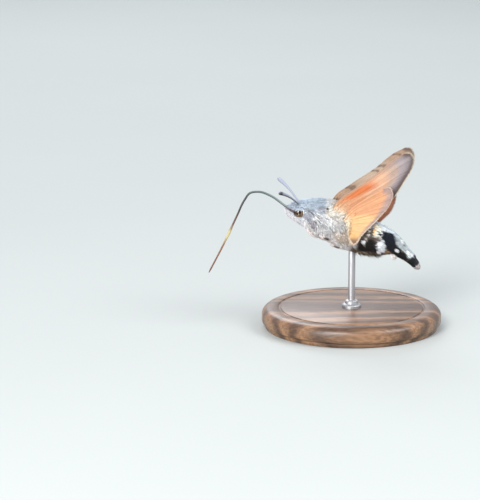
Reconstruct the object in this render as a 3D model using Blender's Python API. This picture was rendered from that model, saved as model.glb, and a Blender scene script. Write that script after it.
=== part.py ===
"""A hummingbird hawk moth, life size, hovering with raised wings on a plain display stand.

The moth faces -X, its left side is -Y and +Z is up. The origin is the centre of the
stand's underside. Lengths are in metres, written as millimetres times MM.
"""

import itertools
import math
import random

import bmesh
import bpy
import numpy
from mathutils import Vector
from mathutils.bvhtree import BVHTree

MM = 0.001
GAP = 0.3 * MM
SIDES = {"left": -1, "right": 1}

# Body line from the snout to the end of the tail, in the plane of symmetry, in mm:
# place back and up, then the half heights over and under the line and the half width.
BODY_STATIONS = (
    (-13.30, 24.55, 0.25, 0.25, 0.30),
    (-12.60, 24.25, 1.05, 0.95, 1.25),
    (-11.40, 23.81, 1.85, 1.75, 2.15),
    (-10.00, 23.42, 2.35, 2.45, 2.50),
    (-8.40, 23.05, 3.05, 3.10, 3.20),
    (-6.46, 22.50, 3.75, 3.75, 3.80),
    (-3.90, 21.55, 4.05, 4.00, 4.00),
    (-1.42, 20.38, 4.10, 4.10, 3.95),
    (1.60, 18.99, 3.70, 3.70, 3.75),
    (5.20, 17.86, 3.05, 3.05, 3.55),
    (7.80, 16.93, 2.30, 2.20, 3.10),
    (9.70, 15.70, 1.60, 1.60, 2.40),
    (11.45, 14.20, 1.15, 1.10, 1.85),
    (13.45, 12.00, 0.60, 0.60, 1.30),
)
# Distances along the body line, in mm from the snout.
NECK = 3.8
WAIST = 15.9
TAIL = 25.2
TAIL_CORE_END = 27.6
SEGMENT_LENGTH = 1.6
SEGMENT_STEP = 0.035

EYE_RADIUS = 1.05 * MM
EYE_PLACE = (-10.65 * MM, 1.7 * MM, 23.75 * MM)

# Palp from under the head up to the front of the face, beside the plane of symmetry.
PALP_LINE = ((-10.2, 21.75), (-11.6, 22.35), (-12.7, 23.15), (-13.35, 24.05), (-13.5, 24.5))
PALP_RADII = (0.42, 0.55, 0.52, 0.4, 0.22)
PALP_ASIDE = 0.78

ANTENNA_AT = 2.05
ANTENNA_ANGLE = math.radians(36)
ANTENNA_REACH = (-4.05, 6.1, 3.45)
ANTENNA_BOW = 0.35
# Share of the antenna's length, and its radius there in mm: a shaft, a club, a hooked tip.
ANTENNA_RADII = ((0.0, 0.25), (0.35, 0.27), (0.7, 0.36), (0.86, 0.42), (0.95, 0.33), (1.0, 0.12))

# Proboscis, from the face over its bend and down to the tip, in the plane of symmetry.
PROBOSCIS_LINE = (
    (-13.80, 25.05),
    (-16.08, 26.66),
    (-18.72, 27.59),
    (-20.44, 27.30),
    (-21.48, 25.94),
    (-22.98, 22.76),
    (-25.62, 17.00),
    (-28.64, 11.06),
)
# Nodes of the proboscis: name, where it ends along the line and how far apart its rings
# are, in mm.
PROBOSCIS_LENGTHS = (
    ("proboscis_base", 5.2, 0.75),
    ("proboscis_bend", 11.0, 0.42),
    ("proboscis_tip", 26.0, 1.0),
)
PROBOSCIS_RADII = ((0.0, 0.29), (0.5, 0.26), (0.58, 0.26), (0.645, 0.36), (0.72, 0.26), (1.0, 0.25))

# Legs folded back along the belly: name, hip and foot along the body line in mm,
# and their angles round the body from straight up.
LEGS = (
    ("front", 5.2, 9.9, 164, 160),
    ("middle", 7.9, 12.6, 138, 138),
    ("hind", 10.9, 15.3, 160, 155),
)
# A leg from hip to foot: share of its length, distance off the belly and radius, in mm.
# It lies half sunk in a groove of the coat.
LEG_SHAPE = (
    (0.0, -0.2, 0.3),
    (0.1, 0.15, 0.31),
    (0.27, 0.3, 0.3),
    (0.45, 0.25, 0.28),
    (0.65, 0.12, 0.26),
    (0.85, 0.06, 0.25),
    (1.0, 0.08, 0.18),
)

WING_THICKNESS = 0.5 * MM
VEIN_RISE = 0.14 * MM
HALF_VEIN = 0.022
WING_STEPS = 9
# Wing edges seen from the side, in mm, each from the root outwards or from the leading
# edge to the trailing one.
FOREWING = {
    "root": ((-4.4, 23.0), (-1.5, 22.1)),
    "leading": ((-4.4, 23.0), (-3.7, 25.5), (-0.2, 28.6), (4.4, 32.0), (8.0, 35.1), (10.2, 36.35)),
    "outer": (
        (10.2, 36.35),
        (11.2, 36.3),
        (11.85, 35.3),
        (11.6, 33.5),
        (10.4, 31.1),
        (8.8, 28.4),
        (7.9, 27.1),
    ),
    "trailing": ((-1.5, 22.1), (2.6, 24.1), (5.6, 25.8), (7.9, 27.1)),
}
HINDWING = {
    "root": ((-2.1, 22.3), (-1.2, 20.6)),
    "leading": ((-2.1, 22.3), (-0.9, 24.6), (2.6, 27.3), (6.2, 29.4)),
    "outer": (
        (6.2, 29.4),
        (7.2, 29.5),
        (7.75, 28.4),
        (7.2, 26.1),
        (5.0, 23.2),
        (1.64, 19.5),
        (0.6, 18.0),
        (0.1, 17.75),
    ),
    "trailing": ((-1.2, 20.6), (-0.9, 19.0), (-0.4, 18.0), (0.1, 17.75)),
}
# Main veins: place across the wing from the leading edge, and where each starts along it.
# HALF_VEIN is half a vein's width as a share of the wing's.
FOREWING_VEINS = ((0.09, 0.0), (0.2, 0.0), (0.36, 0.5), (0.52, 0.5), (0.68, 0.0), (0.88, 0.0))
HINDWING_VEINS = ((0.12, 0.0), (0.3, 0.35), (0.48, 0.35), (0.66, 0.0), (0.85, 0.0))
FOREWING_ASIDE = 3.0 * MM
HINDWING_ASIDE = 4.15 * MM
WING_SPREAD = 0.085
# The right wings are caught a little wider and lower in their beat than the left ones:
# their chord against the outline's, and their turn about the root in degrees.
FOREWING_BEAT = {"left": (1.0, 0.0), "right": (1.12, -2.5)}
HINDWING_BEAT = {"left": (1.0, 0.0), "right": (1.5, -9.0)}
HINDWING_DIVE = 0.9 * MM
DIVE_SHARE = 0.22

# A flat lock of scales: share of its length, of its width and of its thickness there.
# It starts sunk in the body and ends in a tip.
LOCK_SHAPE = ((-0.3, 0.7, 1.0), (0.12, 1.0, 1.0), (0.55, 0.9, 0.85), (0.82, 0.6, 0.6))
LOCK_THICKNESS = 0.5 * MM
LOCK_CLEAR = 0.42 * MM
# Rows of locks: distance along the body line in mm, angles from straight up in degrees
# on each side, length and width in mm, and lift off the body in degrees.
THORAX_ROWS = (
    (4.7, (0, 40, 80, 120), 1.9, 1.6, 11),
    (6.5, (20, 60, 100, 128), 2.1, 1.7, 10),
    (8.4, (0, 38, 84, 114), 2.1, 1.7, 10),
    (10.4, (16, 98, 120), 2.1, 1.5, 10),
    (12.3, (0, 26, 108, 124), 2.2, 1.5, 10),
    (14.2, (12, 30, 96, 118, 140), 2.4, 1.3, 11),
)
ABDOMEN_ROWS = (
    (17.0, (0, 40, 78, 102, 126, 168), 1.9, 1.3, 9),
    (18.8, (20, 58), 1.8, 1.3, 8),
    (18.8, (92, 114, 138, 160), 1.8, 1.2, 16),
    (20.4, (0, 36), 1.9, 1.3, 7),
    (20.4, (74, 96, 118, 148), 2.0, 1.1, 26),
    (21.9, (20,), 1.9, 1.3, 7),
    (21.9, (62, 84, 106, 130, 164), 2.1, 1.1, 32),
    (23.4, (0, 40), 1.7, 1.2, 6),
    (23.4, (74, 96, 118), 2.2, 1.0, 34),
    (24.6, (24,), 1.4, 1.1, 6),
    (24.6, (66, 90, 112), 1.8, 1.0, 26),
)
LOCK_CURL = 0.16
LOCK_JITTER = 0.12
# The tail's fan: locks in layers from the underside up, spread across the tail.
FAN_LAYERS = (-1, 0, 1)
FAN_LOCKS = 7
FAN_ROOT = 26.85
FAN_LENGTH = 3.5
FAN_HALF_WIDTH = 1.75
FAN_LOCK_WIDTH = 0.95
FAN_RISE = 0.42

BASE_RADIUS = 18 * MM
BASE_HEIGHT = 4 * MM
BASE_BEVEL = 0.8 * MM
ROD_RADIUS = 0.7 * MM


def smooth_line(points):
    """The smooth line through the points as a function of the distance along it in mm.

    The first two columns are the place. It returns the function and the line's length.
    """
    points = numpy.array(points, float)
    steps = numpy.linalg.norm(numpy.diff(points[:, :2], axis=0), axis=1)
    at = numpy.concatenate([[0.0], numpy.cumsum(steps)])
    slopes = numpy.gradient(points, at, axis=0)

    def value(distance):
        i = int(numpy.clip(numpy.searchsorted(at, distance) - 1, 0, len(at) - 2))
        span = at[i + 1] - at[i]
        t = (distance - at[i]) / span
        return (
            points[i] * (2 * t**3 - 3 * t**2 + 1)
            + slopes[i] * span * (t**3 - 2 * t**2 + t)
            + points[i + 1] * (3 * t**2 - 2 * t**3)
            + slopes[i + 1] * span * (t**3 - t**2)
        )

    return value, float(at[-1])


def between(table, share):
    """The value at a share of the way through a table of (share, value) pairs."""
    shares, values = zip(*table)
    return float(numpy.interp(share, shares, values))


body_line, BODY_LENGTH = smooth_line(BODY_STATIONS)


def body_frame(distance):
    """Centre, direction to the tail, upward direction and half sizes of the body there."""
    x, z, up, down, side = body_line(distance)
    ahead = body_line(distance + 0.05)
    behind = body_line(distance - 0.05)
    along = Vector((ahead[0] - behind[0], 0, ahead[1] - behind[1])).normalized()
    upward = Vector((-along.z, 0, along.x))
    return Vector((x, 0, z)) * MM, along, upward, (up * MM, down * MM, side * MM)


def skin_point(distance, angle, clear=0.0, scale=1.0):
    """A point of the body's surface, by its angle from straight up, or a little off it."""
    centre, _, upward, (up, down, side) = body_frame(distance)
    tall = (up if math.cos(angle) > 0 else down) * scale + clear
    wide = side * scale + clear
    return centre + upward * tall * math.cos(angle) + Vector((0, wide * math.sin(angle), 0))


def skin_normal(distance, angle):
    step = 0.05
    along = skin_point(distance + step, angle) - skin_point(distance - step, angle)
    around = skin_point(distance, angle + step) - skin_point(distance, angle - step)
    return along.cross(around).normalized()


def material(name, colour, roughness, metallic=0.0):
    made = bpy.data.materials.new(name)
    made.use_nodes = True
    shader = made.node_tree.nodes["Principled BSDF"]
    shader.inputs["Base Color"].default_value = (*colour, 1)
    shader.inputs["Roughness"].default_value = roughness
    shader.inputs["Metallic"].default_value = metallic
    made.diffuse_color = (*colour, 1)
    return made


def finish_object(name, shell, look):
    """The bmesh as a named object with its material, shaded smooth."""
    bmesh.ops.recalc_face_normals(shell, faces=shell.faces)
    mesh = bpy.data.meshes.new(name)
    shell.to_mesh(mesh)
    shell.free()
    mesh.shade_smooth()
    mesh.set_sharp_from_angle(angle=math.radians(50))
    made = bpy.data.objects.new(name, mesh)
    if look:
        mesh.materials.append(look)
    bpy.context.scene.collection.objects.link(made)
    return made


def shell_of(rings):
    """A closed surface over rings of points. A ring of one point is a tip."""
    shell = bmesh.new()
    rows = [[shell.verts.new(point) for point in ring] for ring in rings]
    for first, second in zip(rows, rows[1:]):
        for i in range(max(len(first), len(second))):
            corners = [first[i % len(first)], first[(i + 1) % len(first)]]
            corners += [second[(i + 1) % len(second)], second[i % len(second)]]
            shell.faces.new(list(dict.fromkeys(corners)))
    for end in (rows[0], rows[-1]):
        if len(end) > 1:
            shell.faces.new(end)
    return shell


def tube_rings(points, radii, sides):
    """Rings of a round tube along points, all in one plane or close to it."""
    rings = []
    for i, (point, radius) in enumerate(zip(points, radii)):
        ahead = points[min(i + 1, len(points) - 1)]
        behind = points[max(i - 1, 0)]
        along = (ahead - behind).normalized()
        across = along.cross(Vector((0.02, 0, 1))).normalized()
        upward = across.cross(along)
        turn = [2 * math.pi * k / sides for k in range(sides)]
        rings.append(
            [point + (across * math.cos(a) + upward * math.sin(a)) * radius for a in turn]
        )
    return rings


def body_rings(start, end, count, sides, clear=0.0, scale_at=None):
    """Rings of the body from one distance along its line to another."""
    rings = []
    for i in range(count):
        distance = start + (end - start) * i / (count - 1)
        scale = scale_at(distance) if scale_at else 1.0
        turn = [2 * math.pi * k / sides for k in range(sides)]
        rings.append([skin_point(distance, a, clear, scale) for a in turn])
    return rings


def combine(node, helpers, operation):
    """Joins the helpers to the node, or cuts them from it, and keeps the largest surface."""
    group = bpy.data.collections.new(f"{node.name}_helpers")
    bpy.context.scene.collection.children.link(group)
    for helper in helpers:
        helper.hide_render = True
        helper.display_type = "WIRE"
        bpy.context.scene.collection.objects.unlink(helper)
        group.objects.link(helper)
    boolean = node.modifiers.new("helpers", "BOOLEAN")
    boolean.operation = operation
    boolean.operand_type = "COLLECTION"
    boolean.collection = group
    boolean.solver = "EXACT"
    graph = bpy.context.evaluated_depsgraph_get()
    joined = bpy.data.meshes.new_from_object(node.evaluated_get(graph))
    node.modifiers.clear()
    node.data = joined
    for helper in helpers:
        bpy.data.objects.remove(helper)
    bpy.data.collections.remove(group)
    keep_largest(node)


def keep_largest(node):
    """Drops every loose surface of the node's mesh but the largest."""
    shell = bmesh.new()
    shell.from_mesh(node.data)
    left = set(shell.verts)
    pieces = []
    while left:
        piece = set()
        front = [left.pop()]
        while front:
            vert = front.pop()
            piece.add(vert)
            near = {edge.other_vert(vert) for edge in vert.link_edges} & left
            left -= near
            front.extend(near)
        pieces.append(piece)
    pieces.sort(key=len)
    dropped = [vert for piece in pieces[:-1] for vert in piece]
    bmesh.ops.delete(shell, geom=dropped, context="VERTS")
    bmesh.ops.triangulate(shell, faces=shell.faces)
    shell.to_mesh(node.data)
    shell.free()


def helper(name, rings):
    return finish_object(name, shell_of(rings), None)


def build_head(look):
    """The head without eyes and palps, which sit in hollows of its surface."""
    rings = body_rings(0.25, NECK, 9, 20)
    centre, along, _, _ = body_frame(0.0)
    rings.insert(0, [centre + along * 0.05 * MM])
    head = finish_object("head", shell_of(rings), look)
    cutters = [eye_mesh(side, EYE_RADIUS + GAP, f"eye_cutter_{side}", None) for side in SIDES]
    cutters += [helper(f"palp_cutter_{side}", palp_rings(side, GAP)) for side in SIDES]
    combine(head, cutters, "DIFFERENCE")
    return head


def eye_mesh(side, radius, name, look):
    x, aside, z = EYE_PLACE
    shell = bmesh.new()
    bmesh.ops.create_uvsphere(shell, u_segments=16, v_segments=10, radius=radius)
    for vert in shell.verts:
        vert.co += Vector((x, aside * SIDES[side], z))
    return finish_object(name, shell, look)


def palp_rings(side, clear=0.0):
    """One palp, with its back end flat against the underside of the head."""
    line, length = smooth_line(PALP_LINE)
    shares = [i / (len(PALP_RADII) - 1) for i in range(len(PALP_RADII))]
    table = list(zip(shares, PALP_RADII))
    points, radii = [], []
    for i in range(8):
        share = i / 7
        x, z = line(share * length)
        points.append(Vector((x, PALP_ASIDE * SIDES[side], z)) * MM)
        radii.append(between(table, share) * MM + clear)
    rings = tube_rings(points, radii, 10)
    tip = points[-1] + (points[-1] - points[-2]).normalized() * (radii[-1] * 0.6)
    return rings + [[tip]]


def build_antenna(side, look):
    """An antenna that thickens to a club and ends in a short hooked tip."""
    root = skin_point(ANTENNA_AT, ANTENNA_ANGLE * SIDES[side], GAP + 0.1 * MM)
    reach = Vector(ANTENNA_REACH) * MM
    reach.y *= SIDES[side]
    points, radii = [], []
    for i in range(15):
        share = i / 14
        bow = Vector((0, 0, ANTENNA_BOW * MM * math.sin(math.pi * share)))
        hook = Vector((0.35, 0, -0.1)) * MM * max(0.0, share - 0.86) / 0.14
        points.append(root + reach * share + bow + hook)
        radii.append(between(ANTENNA_RADII, share) * MM)
    return finish_object(f"antenna_{side}", shell_of(tube_rings(points, radii, 8)), look)


def build_proboscis(looks):
    """The proboscis in three lengths, end to end with a gap."""
    line, length = smooth_line(PROBOSCIS_LINE)
    start = 0.0
    for (name, end, spacing), look in zip(PROBOSCIS_LENGTHS, looks):
        end = min(end, length)
        count = round((end - start) / spacing) + 1
        points, radii = [], []
        for i in range(count):
            distance = start + (end - start) * i / (count - 1)
            x, z = line(distance)
            points.append(Vector((x, 0, z)) * MM)
            radii.append(between(PROBOSCIS_RADII, distance / length) * MM)
        finish_object(name, shell_of(tube_rings(points, radii, 8)), look)
        start = end + GAP / MM


def leg_rings(side, hip, foot, hip_angle, foot_angle, wider=0.0):
    """The rings of a leg folded back along the belly."""
    points, radii = [], []
    for share, clear, radius in LEG_SHAPE:
        distance = hip + (foot - hip) * share
        angle = math.radians(hip_angle + (foot_angle - hip_angle) * share)
        points.append(skin_point(distance, angle * SIDES[side], clear * MM))
        radii.append(radius * MM + wider)
    if wider:
        points[0] += (points[0] - points[1]).normalized() * wider
        points[-1] += (points[-1] - points[-2]).normalized() * wider
    return tube_rings(points, radii, 7)


def patch(edges, u, v):
    """A point inside four edge lines, by its share along them and across them."""
    lines = {name: smooth_line(points) for name, points in edges.items()}

    def on(name, share):
        line, length = lines[name]
        return line(share * length)

    corners = (
        on("leading", 0) * (1 - u) * (1 - v)
        + on("trailing", 0) * (1 - u) * v
        + on("leading", 1) * u * (1 - v)
        + on("trailing", 1) * u * v
    )
    along = on("leading", u) * (1 - v) + on("trailing", u) * v
    across = on("root", v) * (1 - u) + on("outer", v) * u
    return along + across - corners


def build_wing(name, side, edges, veins, beat, aside, dive, look):
    """A thin wing, both faces split alike, with its main veins raised in both faces."""
    rows = {0.0, 1.0}
    for place, _ in veins:
        rows |= {place - HALF_VEIN, place, place + HALF_VEIN}
    rows = sorted(rows)
    columns = [i / WING_STEPS for i in range(WING_STEPS + 1)]
    shoulder = numpy.array(FOREWING["leading"][0])
    root = numpy.array(edges["leading"][0])
    span = numpy.array(edges["leading"][-1]) - root
    span /= numpy.linalg.norm(span)
    chord, turn = beat[side]
    sine, cosine = math.sin(math.radians(turn)), math.cos(math.radians(turn))
    sheets = {}
    for i, u in enumerate(columns):
        for j, v in enumerate(rows):
            place = patch(edges, u, v) - root
            along = span * place.dot(span)
            x, z = along + (place - along) * chord
            place = root + numpy.array((x * cosine - z * sine, x * sine + z * cosine))
            away = numpy.linalg.norm(place - shoulder) * MM
            inward = dive * max(0.0, 1 - u / DIVE_SHARE) ** 2
            middle = aside + away * WING_SPREAD - inward
            raised = any(abs(v - at) < 1e-6 and u >= begins for at, begins in veins)
            half = WING_THICKNESS / 2 + (VEIN_RISE if raised and u < 1 else 0)
            for face in (-1, 1):
                y = (middle + face * half) * SIDES[side]
                sheets[i, j, face] = Vector((place[0] * MM, y, place[1] * MM))
    shell = bmesh.new()
    verts = {key: shell.verts.new(point) for key, point in sheets.items()}
    last_i, last_j = len(columns) - 1, len(rows) - 1
    for i in range(last_i):
        for j in range(last_j):
            for face in (-1, 1):
                a, b = verts[i, j, face], verts[i + 1, j, face]
                c, d = verts[i + 1, j + 1, face], verts[i, j + 1, face]
                shell.faces.new((a, b, c))
                shell.faces.new((a, c, d))
    rim = [(i, 0) for i in range(last_i)] + [(last_i, j) for j in range(last_j)]
    rim += [(i, last_j) for i in range(last_i, 0, -1)] + [(0, j) for j in range(last_j, 0, -1)]
    for here, there in zip(rim, rim[1:] + rim[:1]):
        shell.faces.new(
            (verts[*here, -1], verts[*there, -1], verts[*there, 1], verts[*here, 1])
        )
    wing = finish_object(name, shell, look)
    around = helper("thorax_cutter", body_rings(NECK, WAIST, 16, 24, GAP + 0.05 * MM))
    combine(wing, [around], "DIFFERENCE")
    return wing


def lock_rings(root, along, out, length, width):
    """A flat lock that tapers to its tip and curls back a little towards the body."""
    across = out.cross(along).normalized()
    rings = []
    for share, wide, thick in LOCK_SHAPE:
        middle = root + along * length * share - out * length * LOCK_CURL * share * abs(share)
        flat = across * (width / 2 * wide)
        tall = out * (LOCK_THICKNESS / 2 * thick)
        rings.append([middle + flat, middle + tall, middle - flat, middle - tall])
    return rings + [[root + along * length - out * length * LOCK_CURL]]


def coat_lock(distance, angle, length, width, lift):
    """The rings of a lock that grows from the body there and lies back along it."""
    step = 0.05
    out = skin_normal(distance, angle)
    along = skin_point(distance + step, angle) - skin_point(distance - step, angle)
    along.normalize()
    heading = along * math.cos(lift) + out * math.sin(lift)
    upward = out * math.cos(lift) - along * math.sin(lift)
    return lock_rings(skin_point(distance, angle), heading, upward, length, width)


def is_inside(tree, point):
    """Whether a ray upward from the point leaves the closed surface once more than it enters."""
    crossings = 0
    hit = tree.ray_cast(point, Vector((0, 0, 1)))[0]
    while hit:
        crossings += 1
        hit = tree.ray_cast(hit + Vector((0, 0, 1e-6)), Vector((0, 0, 1)))[0]
    return crossings % 2 == 1


def is_clear(rings, obstacles):
    """Whether no point of the lock's free length comes near another node."""
    free = [point for ring in rings[1:] for point in ring]
    free += [sum(ring, Vector()) / len(ring) for ring in rings[1:]]
    for first, second in zip(rings[1:], rings[2:]):
        free += [(a + b) / 2 for a, b in itertools.product(first, second)]
    for tree in obstacles:
        for point in free:
            if tree.find_nearest(point)[3] < LOCK_CLEAR or is_inside(tree, point):
                return False
    return True


def dress(node, rows):
    """Sets rows of locks on the node, shorter and flatter where they would meet another."""
    draw = random.Random(node.name)
    graph = bpy.context.evaluated_depsgraph_get()
    others = [o for o in bpy.context.scene.collection.objects if o.type == "MESH" and o is not node]
    obstacles = [BVHTree.FromObject(other, graph) for other in others]
    locks = []
    for distance, angles, length, width, lift in rows:
        for angle in angles:
            for side in SIDES.values() if angle else (1,):
                vary = 1 + draw.uniform(-LOCK_JITTER, LOCK_JITTER)
                place = distance + draw.uniform(-LOCK_JITTER, LOCK_JITTER)
                turn = math.radians(angle) * side
                for trim in (1.0, 0.8, 0.62):
                    size = length * vary * trim * MM
                    rise = math.radians(lift) * trim**2
                    rings = coat_lock(place, turn, size, width * MM, rise)
                    if is_clear(rings, obstacles):
                        locks.append(helper(f"lock_{len(locks)}", rings))
                        break
    combine(node, locks, "UNION")


def build_thorax(look):
    """The thorax with a groove in its underside for each folded leg."""
    thorax = finish_object("thorax", shell_of(body_rings(NECK + 0.3, WAIST, 13, 20)), look)
    grooves = []
    for side in SIDES:
        for name, *leg in LEGS:
            rings = leg_rings(side, *leg, wider=GAP + 0.02 * MM)
            grooves.append(helper(f"groove_{name}_{side}", rings))
    combine(thorax, grooves, "DIFFERENCE")
    return thorax


def segment_scale(distance):
    """Each ring of the abdomen stands a little over the next."""
    share = (distance - WAIST) / SEGMENT_LENGTH % 1
    return 1 - SEGMENT_STEP / 2 + SEGMENT_STEP * share


def build_abdomen(look):
    rings = body_rings(WAIST + 0.3, TAIL, 18, 24, scale_at=segment_scale)
    return finish_object("abdomen", shell_of(rings), look)


def build_tail(look):
    """The fan of long flat scales at the end of the body, on a core half as long."""
    tail = finish_object("tail_fan", shell_of(body_rings(TAIL + 0.3, TAIL_CORE_END, 4, 16)), look)
    centre, along, upward, _ = body_frame(FAN_ROOT)
    locks = []
    for layer in FAN_LAYERS:
        for k in range(FAN_LOCKS):
            share = (k + 0.25 * layer) / (FAN_LOCKS - 1) * 2 - 1
            aside = FAN_HALF_WIDTH * MM * share
            root = centre + upward * layer * FAN_RISE * MM + Vector((0, aside * 0.62, 0))
            tip = centre + along * FAN_LENGTH * MM * (1 - 0.12 * share**2 - 0.05 * abs(layer))
            tip += upward * layer * FAN_RISE * 0.5 * MM + Vector((0, aside, 0))
            heading = (tip - root).normalized()
            width = FAN_LOCK_WIDTH * MM
            rings = lock_rings(root, heading, upward, (tip - root).length, width)
            locks.append(helper(f"tail_lock_{layer}_{k}", rings))
    combine(tail, locks, "UNION")
    return tail


def build_stand(base_look, rod_look):
    """A round base and one short rod up to the belly."""
    shell = bmesh.new()
    bmesh.ops.create_cone(
        shell, cap_ends=True, segments=64, radius1=BASE_RADIUS, radius2=BASE_RADIUS, depth=BASE_HEIGHT
    )
    top = [edge for edge in shell.edges if all(vert.co.z > 0 for vert in edge.verts)]
    bmesh.ops.bevel(shell, geom=top, offset=BASE_BEVEL, segments=2, profile=0.5, affect="EDGES")
    base = finish_object("stand_base", shell, base_look)
    base.location.z = BASE_HEIGHT / 2
    belly = belly_height(0.0)
    bottom = BASE_HEIGHT + GAP
    height = belly - GAP - bottom
    shell = bmesh.new()
    bmesh.ops.create_cone(
        shell, cap_ends=True, segments=16, radius1=ROD_RADIUS, radius2=ROD_RADIUS, depth=height
    )
    rod = finish_object("stand_rod", shell, rod_look)
    rod.location.z = bottom + height / 2


def belly_height(x):
    """Height of the underside of the body over a place along X, in the plane of symmetry."""
    points = [skin_point(i / 10, math.pi) for i in range(60, 200)]
    return min(points, key=lambda point: abs(point.x - x)).z - ROD_RADIUS * 0.35


def main():
    for old in list(bpy.data.objects):
        bpy.data.objects.remove(old)
    grey_fur = material("grey_fur", (0.42, 0.45, 0.5), 0.9)
    dark_fur = material("dark_fur", (0.12, 0.1, 0.1), 0.9)
    white_fur = material("white_fur", (0.8, 0.78, 0.74), 0.9)
    horn = material("dark_horn", (0.05, 0.045, 0.04), 0.4)
    eye = material("eye", (0.16, 0.11, 0.07), 0.2)
    orange = material("orange_membrane", (0.8, 0.4, 0.15), 0.7)
    grey_wing = material("grey_membrane", (0.35, 0.28, 0.26), 0.7)
    build_head(grey_fur)
    thorax = build_thorax(grey_fur)
    abdomen = build_abdomen(dark_fur)
    build_tail(dark_fur)
    build_proboscis((horn, horn, horn))
    for side in SIDES:
        eye_mesh(side, EYE_RADIUS, f"eye_{side}", eye)
        finish_object(f"palp_{side}", shell_of(palp_rings(side)), white_fur)
        build_antenna(side, grey_fur)
        for name, *leg in LEGS:
            finish_object(f"leg_{name}_{side}", shell_of(leg_rings(side, *leg)), horn)
        fore = (FOREWING, FOREWING_VEINS, FOREWING_BEAT, FOREWING_ASIDE, 0.0, grey_wing)
        hind = (HINDWING, HINDWING_VEINS, HINDWING_BEAT, HINDWING_ASIDE, HINDWING_DIVE, orange)
        build_wing(f"forewing_{side}", side, *fore)
        build_wing(f"hindwing_{side}", side, *hind)
    wood = material("stand_wood", (0.25, 0.15, 0.08), 0.5)
    steel = material("rod_steel", (0.6, 0.6, 0.62), 0.3, 1)
    build_stand(wood, steel)
    dress(thorax, THORAX_ROWS)
    dress(abdomen, ABDOMEN_ROWS)


main()
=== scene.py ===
"""Looks of a life-size hummingbird hawk moth on a plain display stand.

It faces -X, its left side is -Y and +Z is up. The moth's and the stand's own lengths are
in millimetres, and MM makes metres of them. The lamps and the floor are set in metres.
"""

import math

import bpy
import numpy
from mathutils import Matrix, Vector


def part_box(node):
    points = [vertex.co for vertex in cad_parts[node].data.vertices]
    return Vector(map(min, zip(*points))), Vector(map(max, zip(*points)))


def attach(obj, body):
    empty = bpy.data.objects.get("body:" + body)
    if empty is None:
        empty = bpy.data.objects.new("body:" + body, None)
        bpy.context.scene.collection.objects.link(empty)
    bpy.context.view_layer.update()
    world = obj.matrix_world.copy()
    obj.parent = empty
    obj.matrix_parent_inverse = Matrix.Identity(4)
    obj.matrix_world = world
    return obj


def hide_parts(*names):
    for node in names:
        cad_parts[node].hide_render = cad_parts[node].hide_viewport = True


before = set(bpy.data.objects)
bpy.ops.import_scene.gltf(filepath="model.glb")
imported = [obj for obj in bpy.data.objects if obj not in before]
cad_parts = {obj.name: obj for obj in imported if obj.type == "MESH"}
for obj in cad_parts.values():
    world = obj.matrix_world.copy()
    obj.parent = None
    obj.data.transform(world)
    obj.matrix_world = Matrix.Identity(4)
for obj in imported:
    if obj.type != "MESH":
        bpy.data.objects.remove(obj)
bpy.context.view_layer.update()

MM = 0.001
SIDES = {"left": -1, "right": 1}


# Camera: straight at the moth's left side from a little above it, with a long lens.
# The frame is 100 mm tall at the moth, which is 0.2 mm for each pixel of the photograph.
VIEW_TILT = math.radians(13)
VIEW_DISTANCE = 500 * MM
VIEW_TARGET = numpy.array((-22.4, 0, 15.7)) * MM

lens = bpy.data.cameras.new("long_lens")
lens.lens = 180
lens.sensor_fit = "VERTICAL"
lens.sensor_height = 36
lens.clip_start = 0.01
camera = bpy.data.objects.new("long_lens", lens)
bpy.context.scene.collection.objects.link(camera)
back = numpy.array((0, -math.cos(VIEW_TILT), math.sin(VIEW_TILT))) * VIEW_DISTANCE
camera.location = VIEW_TARGET + back
camera.rotation_euler = (math.pi / 2 - VIEW_TILT, 0, 0)
bpy.context.scene.camera = camera


# Studio: a pale matt floor, one large soft lamp before the moth's left side, a weak low
# one beside it, weaker ones behind it and on its right, and an even pale surround.
FLOOR_REACH = 1.6
LAMP_AIM = (-0.005, 0, 0.02)
# Lamps: name, place, width, power in watts and colour.
LAMPS = (
    ("key_lamp", (-0.22, -0.48, 0.37), 0.26, 3.9, (1.0, 0.985, 0.965)),
    ("low_lamp", (-0.3, -0.43, 0.06), 0.26, 1.7, (1.0, 0.99, 0.98)),
    ("rear_lamp", (0.42, -0.2, 0.4), 0.35, 2.6, (0.97, 0.985, 1.0)),
    ("fill_lamp", (-0.1, 0.5, 0.4), 0.35, 1.5, (0.93, 0.96, 1.0)),
)
SURROUND_COLOUR = (0.9, 0.94, 1.0, 1)
SURROUND_STRENGTH = 0.82


def to_linear(red, green, blue):
    """A colour given in ordinary 0 to 255 steps as linear values."""
    steps = numpy.array((red, green, blue)) / 255
    return numpy.where(steps < 0.04045, steps / 12.92, ((steps + 0.055) / 1.055) ** 2.4)


def set_inputs(node, **constants):
    """Sets a node's constant inputs. An underscore stands for a space in an input's name."""
    for socket, value in constants.items():
        node.inputs[socket.replace("_", " ")].default_value = value


def add_node(nodes, kind, **constants):
    made = nodes.new("ShaderNode" + kind)
    set_inputs(made, **constants)
    return made


def new_material(name, roughness, **constants):
    """A material with its constant sockets set. It returns it, its nodes, links and shader."""
    made = bpy.data.materials.new(name)
    made.use_nodes = True
    tree = made.node_tree
    shader = tree.nodes["Principled BSDF"]
    set_inputs(shader, Roughness=roughness, **constants)
    return made, tree.nodes, tree.links, shader


def new_group(name, **inputs):
    """An empty node group with number inputs that puts out a shade and a height.

    It returns the group, its nodes, its links and its two end nodes.
    """
    group = bpy.data.node_groups.new(name, "ShaderNodeTree")
    for socket, value in inputs.items():
        made = group.interface.new_socket(socket, in_out="INPUT", socket_type="NodeSocketFloat")
        made.default_value = value
    for socket in ("Shade", "Height"):
        group.interface.new_socket(socket, in_out="OUTPUT", socket_type="NodeSocketFloat")
    start = group.nodes.new("NodeGroupInput")
    end = group.nodes.new("NodeGroupOutput")
    return group, group.nodes, group.links, start, end


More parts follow.
